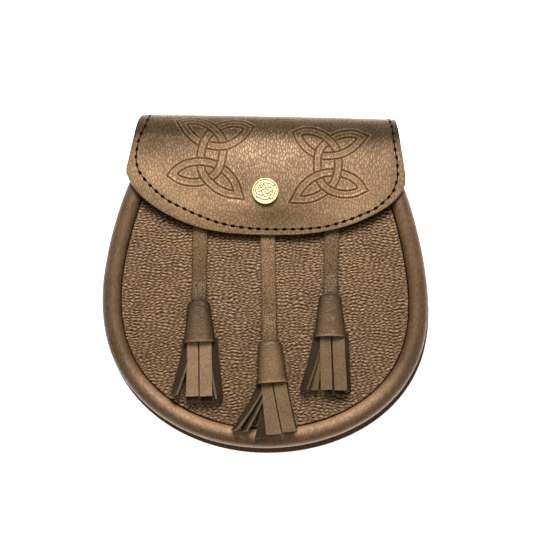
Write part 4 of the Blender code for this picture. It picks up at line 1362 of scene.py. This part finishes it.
# The three dyes of a tassel were set to the photo's brightness of its strap, cap and strips.
TASSELS = [
    dict(side="left", root_x=-39.3 * MM, cap_x=-37.8 * MM, cap_y=-15.4 * MM, lean=radians(3.6),
         length=24.4 * MM, top=6.3 * MM, mouth=9.1 * MM, strap_dye=0.86, cap_dye=0.70, strips_dye=1.18),
    dict(side="middle", root_x=0.4 * MM, cap_x=4.0 * MM, cap_y=-37.8 * MM, lean=radians(6.0),
         length=24.4 * MM, top=6.6 * MM, mouth=9.1 * MM, strap_dye=1.22, cap_dye=1.16, strips_dye=0.82),
    dict(side="right", root_x=38.4 * MM, cap_x=38.4 * MM, cap_y=-10.2 * MM, lean=radians(1.4),
         length=24.4 * MM, top=6.3 * MM, mouth=9.1 * MM, strap_dye=0.82, cap_dye=0.78, strips_dye=0.76),
]
# Each strip in mm and degrees: across and height at the mouth, across and height at the tip, how
# far it is turned on edge, its length, its width at the mouth and at the tip, and which side shows.
STRIPS = {
    "left": [
        (-3.9, 7.4, -5.0, 6.2, 3, 31.0, 6.3, 7.4, "grain"),
        (3.5, 7.4, 2.9, 6.2, -3, 31.2, 7.0, 7.3, "grain"),
        (-7.0, 4.9, -15.5, 3.8, 52, 30.0, 6.7, 6.9, "flesh"),
        (7.4, 4.9, 10.4, 3.8, -60, 33.0, 6.7, 6.9, "flesh"),
        (-4.2, 3.9, -5.2, 3.0, 4, 34.0, 6.9, 7.8, "flesh"),
        (3.5, 3.9, 3.2, 3.0, -3, 34.6, 6.9, 7.8, "flesh"),
    ],
    "middle": [
        (-3.2, 7.4, -1.3, 3.6, 3, 29.4, 6.2, 8.9, "grain"),
        (4.2, 7.4, 7.6, 3.6, -3, 28.6, 7.2, 7.8, "grain"),
        (-6.5, 4.9, -23.6, 3.6, 58, 25.4, 6.4, 6.7, "flesh"),
        (-4.5, 3.6, -18.2, 2.8, 55, 26.4, 5.6, 6.0, "flesh"),
        (-2.0, 3.1, -9.3, 1.1, 4, 30.8, 6.2, 6.4, "flesh"),
        (5.5, 4.9, 9.0, 1.3, -20, 27.0, 6.7, 6.7, "flesh"),
    ],
    "right": [
        (-2.6, 7.4, -2.0, 6.2, 3, 30.4, 6.2, 6.6, "grain"),
        (4.8, 7.4, 6.2, 6.2, -3, 30.8, 7.0, 7.2, "grain"),
        (-6.8, 4.9, -15.2, 3.8, 50, 30.6, 6.7, 6.9, "flesh"),
        (-6.4, 4.0, -9.6, 2.4, 40, 30.6, 6.0, 6.4, "grain"),
        (8.0, 4.9, 10.0, 3.8, -66, 30.4, 6.4, 6.6, "flesh"),
        (2.5, 3.9, 3.4, 3.0, -3, 33.0, 8.6, 9.6, "flesh"),
    ],
}
ROLL_PATH, _ = outline(ROLL_RADIUS, ROLL_END_Y, 500)


def tassel_point(row, across, down):
    """x and y of a place on the tassel, from the top of its cap."""
    lean = row["lean"]
    return (row["cap_x"] + across * cos(lean) + down * sin(lean),
            row["cap_y"] - down * cos(lean) + across * sin(lean))


def roll_top(x, y):
    """Height of the roll's upper face there, or 0 away from it."""
    nearest = np.hypot(*(ROLL_PATH - (x, y)).T).min()
    return ROLL_Z + (ROLL_RADIUS ** 2 - nearest ** 2) ** 0.5 if nearest < ROLL_RADIUS else 0.0


def ground(row, across, down, reach):
    """The highest place under a piece of the tassel that is 2 * reach wide."""
    heights = []
    for side in (-reach, 0.0, reach):
        x, y = tassel_point(row, across + side, down)
        heights.append(max(float(panel_top(x, y)), roll_top(x, y)))
    return max(heights) + GAP


def slot_height(row):
    """Height of the strap's middle where it enters the cap."""
    return ground(row, 0.0, 0.0, row["top"]) + 0.5 * CAP_TOP_HEIGHT - 0.5 * MM


# %% [markdown]
# A strap lies on the panel and rises at its lower end into the slot of its cap. A grid takes its
# places one by one, each as high as the panel under it asks, and gets thickness and round edges.

# %% Straps
def make_strap(row):
    strap = flat_grid("strap_" + row["side"], 8, 110)
    spots = points_of(strap)
    root = np.array((row["root_x"], STRAP_ROOT_Y))
    top = np.array(tassel_point(row, 0.0, 0.0))
    end = np.array(tassel_point(row, 0.0, STRAP_TUCK))
    run = np.hypot(*(root - top))
    whole = run + STRAP_TUCK
    side = np.array((cos(row["lean"]), sin(row["lean"]))) * STRAP_WIDTH / 2.0
    places = np.empty_like(spots)
    for i, (u, v, _) in enumerate(spots):
        gone = (1.0 - v) / 2.0 * whole
        middle = mix(root, top, gone / run) if gone < run else mix(top, end, (gone - run) / STRAP_TUCK)
        highest = max(float(panel_top(*(middle + side * s))) for s in (-1.0, 0.0, 1.0))
        lying = highest + GAP + STRAP_THICK / 2.0
        rise = 1.0 if gone >= run else float(ease(1.0 - (run - gone) / (0.3 * run)))
        ripple = 0.12 * MM * noise.noise((gone / (11.0 * MM), u, row["cap_x"] / MM))
        places[i] = (*(middle + side * u), mix(lying, slot_height(row), rise) + ripple)
    move_points(strap, places)
    gone = (1.0 - spots[:, 1]) / 2.0 * whole / run
    # Painted shade: the strap is darker where it rises into its cap, and along its two edges.
    painted_light_along = np.interp(gone, (0.0, 0.15, 0.35, 0.75, 1.0), (0.95, 1.1, 1.15, 0.85, 0.65))
    painted_edge_shade = 1.0 - 0.4 * np.abs(spots[:, 0]) ** 6
    keep_value(strap, "dye", row["strap_dye"] * painted_light_along * painted_edge_shade)
    apply_modifier(strap, "SOLIDIFY", thickness=STRAP_THICK, offset=0.0)
    round_edges(strap, 0.4 * MM)
    outward_and_smooth(strap, 40)
    give(strap, strap_leather)
    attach(strap, "root")
    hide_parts("tassel_strap_" + row["side"])
    report(strap)


# %% [markdown]
# A cap is thin leather wrapped to a cone. How it is closed behind isn't seen, so it has no seam.
# It lies on the panel, so it is flat below and round above. A tube's rings are set to that
# section, wider ring by ring, and the first ring is the slot that the strap goes through. Small
# dents make it soft.

# %% Caps
def d_section(half, low, tall, angle):
    """Across and height of a place on a flattened ring: flat below and round above."""
    belly = low + 0.38 * tall
    rises = np.sin(angle) > 0.0
    power = np.where(rises, 0.68, 0.45)
    reach = np.where(rises, tall - (belly - low), belly - low)
    across = half * np.abs(np.cos(angle)) ** power * np.sign(np.cos(angle))
    return across, belly + reach * np.abs(np.sin(angle)) ** power * np.sign(np.sin(angle))


def place_rings(row, angle, down, half, low, tall):
    """Points of the tassel for these angles and depths, one each."""
    across, height = d_section(half, low, tall, angle)
    spots = [tassel_point(row, a, d) for a, d in zip(across, down)]
    return np.column_stack((np.array(spots), height))


def make_cap(row):
    rings = 34
    cap = open_tube("cap_" + row["side"], 72, rings)
    spots = points_of(cap)
    angle = np.arctan2(spots[:, 1], spots[:, 0])
    step = np.rint(spots[:, 2]).astype(int)
    length = row["length"]
    slot_half = STRAP_WIDTH / 2.0 + SLOT_ROOM
    slot_tall = STRAP_THICK + 2.0 * SLOT_ROOM
    slot_low = slot_height(row) - slot_tall / 2.0
    shoulder = 7
    down_at = np.concatenate((np.linspace(0.0, 1.0, shoulder) ** 2 * CAP_SHOULDER,
                              np.linspace(CAP_SHOULDER, length, rings - shoulder + 2)[1:]))
    size_at = np.interp(down_at, (0.0, 0.3 * MM, 0.9 * MM, CAP_SHOULDER), (0.80, 0.86, 0.95, 1.0))
    size_at[0] = 0.0            # the slot for the strap takes the place of the first ring
    rest = np.array([ground(row, 0.0, d, row["mouth"]) for d in down_at])
    share = down_at / length
    half = mix(row["top"], row["mouth"], share)
    tall = mix(CAP_TOP_HEIGHT, CAP_MOUTH_HEIGHT, share)
    flat = size_at[step]
    dent = 0.16 * MM * waves(np.cos(angle) * 6.0 + row["cap_x"] / MM, step * 0.5 + angle, 2.6, 1.7)
    halves = np.where(flat > 0.0, half[step] * flat + dent, slot_half)
    talls = np.where(flat > 0.0, tall[step] * flat + dent, slot_tall)
    lows = np.where(flat > 0.0, rest[step] + (1.0 - flat) * tall[step] / 2.0, slot_low)
    move_points(cap, place_rings(row, angle, down_at[step], halves, lows, talls))
    # Painted shade and highlight: the cap's sides are darker than its crown, its top end is darker, and the
    # rim of its mouth is painted pale.
    painted_round_shade = row["cap_dye"] * (1.15 - 0.8 * np.abs(np.cos(angle)) ** 2)
    painted_light_along = np.interp(share[step], (0.0, 0.03, 0.1, 0.45, 0.94, 1.0), (0.4, 0.6, 0.8, 1.0, 1.05, 2.2))
    keep_value(cap, "dye", painted_round_shade * painted_light_along)
    outward_and_smooth(cap, 60)
    give(cap, cap_leather, cut_edge)
    apply_modifier(cap, "SOLIDIFY", thickness=CAP_WALL - 0.1 * MM, offset=-1.0, use_even_offset=False,
                   material_offset_rim=1)
    round_edges(cap, 0.25 * MM, angle=65)
    outward_and_smooth(cap, 45)
    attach(cap, "root")
    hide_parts("tassel_cap_" + row["side"])
    report(cap)


# %% [markdown]
# The strips of a tassel are usually slit from one piece of leather that is rolled up in the cap.
# Each is a grid that spreads, turns on edge and bridges what lies below it, with pale fibres on
# its cut sides. They are joined to a plain head that stands in for the rolled end.

# %% Strips
def taut(heights):
    """The lowest curve over these heights that never sags: a stiff strip bridges every dip."""
    lifted = heights.copy()
    for i in range(len(heights)):
        for j in range(i + 1, len(heights)):
            straight = np.linspace(heights[i], heights[j], j - i + 1)
            lifted[i:j + 1] = np.maximum(lifted[i:j + 1], straight)
    soft = np.convolve(np.pad(lifted, 2, mode="edge"), np.ones(5) / 5.0, mode="valid")
    return np.maximum(soft, heights)


def make_strip(row, strip, number):
    """One strip of thin leather, from inside the head to its tip."""
    buried = 3.0 * MM
    x0, z0, x1, z1, on_edge, length, wide0, wide1, shows = strip
    piece = flat_grid(f"strip_{row['side']}_{number}", 6, 30)
    spots = points_of(piece)
    start = ground(row, 0.0, row["length"], row["mouth"]) + z0 * MM
    steps = sorted(set(spots[:, 1]), reverse=True)
    past = mix(-buried, length * MM, (1.0 - np.array(steps)) / 2.0)
    spread = np.maximum(0.0, past / (length * MM))
    across = mix(x0, x1, spread ** 1.25) * MM
    turn = np.radians(on_edge * mix(0.6, 1.0, spread))
    half = mix(wide0, wide1, spread) * MM / 2.0
    down = row["length"] + past
    below = np.array([max(ground(row, a, d + ahead, h) for ahead in (0.0, STRIP_AHEAD))
                      for a, d, h in zip(across, down, half)])
    clear = below + STRIP_THICK * np.cos(turn) / 2.0 + half * np.abs(np.sin(turn))
    middle = np.maximum(mix(start, below + z1 * MM, ease(spread)), clear)
    middle = taut(middle)
    cup = 0.12 * MM * (1.0 - spots[:, 0] ** 2)
    i = np.array([steps.index(v) for v in spots[:, 1]])
    reach = spots[:, 0] * half[i]
    ripple = 0.14 * MM * waves(down[i] / MM, spots[:, 0] * 3.0 + number * 3.7, 5.0, row["cap_x"] / MM)
    flat = [tassel_point(row, a, d) for a, d in zip(across[i] + reach * np.cos(turn[i]), down[i])]
    places = np.column_stack((np.array(flat), middle[i] + reach * np.sin(turn[i]) + cup + ripple))
    # Painted shade inside the cap's mouth, and a little painted highlight towards the tips.
    painted_light_along = np.interp(spread[i], (0.0, 0.15, 0.8, 1.0), (0.8, 1.0, 1.0, 1.12))
    keep_value(piece, "dye", row["strips_dye"] * painted_light_along)
    move_points(piece, places)
    give(piece, strip_leather if shows == "grain" else flesh_side, flesh_side, cut_edge)
    apply_modifier(piece, "SOLIDIFY", thickness=STRIP_THICK, offset=0.0, material_offset=1,
                   material_offset_rim=2)
    round_edges(piece, 0.15 * MM, segments=1)
    outward_and_smooth(piece, 40)
    return piece


def make_fringe(row):
    length = row["length"]
    head = open_tube("head_" + row["side"], 40, 8)
    spots = points_of(head)
    angle = np.arctan2(spots[:, 1], spots[:, 0])
    share = mix(0.45, 0.94, spots[:, 2] / 8.0)
    wall = CAP_WALL + GAP
    half = mix(row["top"], row["mouth"], share) - wall
    tall = mix(CAP_TOP_HEIGHT, CAP_MOUTH_HEIGHT, share) - 2.0 * wall
    rest = np.array([ground(row, 0.0, s * length, row["mouth"]) + wall for s in share])
    move_points(head, place_rings(row, angle, share * length, half, rest, tall))
    only(head)
    bpy.ops.object.mode_set(mode="EDIT")
    bpy.ops.mesh.select_all(action="SELECT")
    bpy.ops.mesh.fill_holes(sides=0)
    bpy.ops.object.mode_set(mode="OBJECT")
    outward_and_smooth(head, 50)
    give(head, flesh_side)
    strips = [make_strip(row, strip, number) for number, strip in enumerate(STRIPS[row["side"]])]
    fringe = join_all([head] + strips, "fringe_" + row["side"])
    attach(fringe, "root")
    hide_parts("tassel_fringe_" + row["side"])
    report(fringe)


for row in TASSELS:
    make_strap(row)
    make_cap(row)
    make_fringe(row)
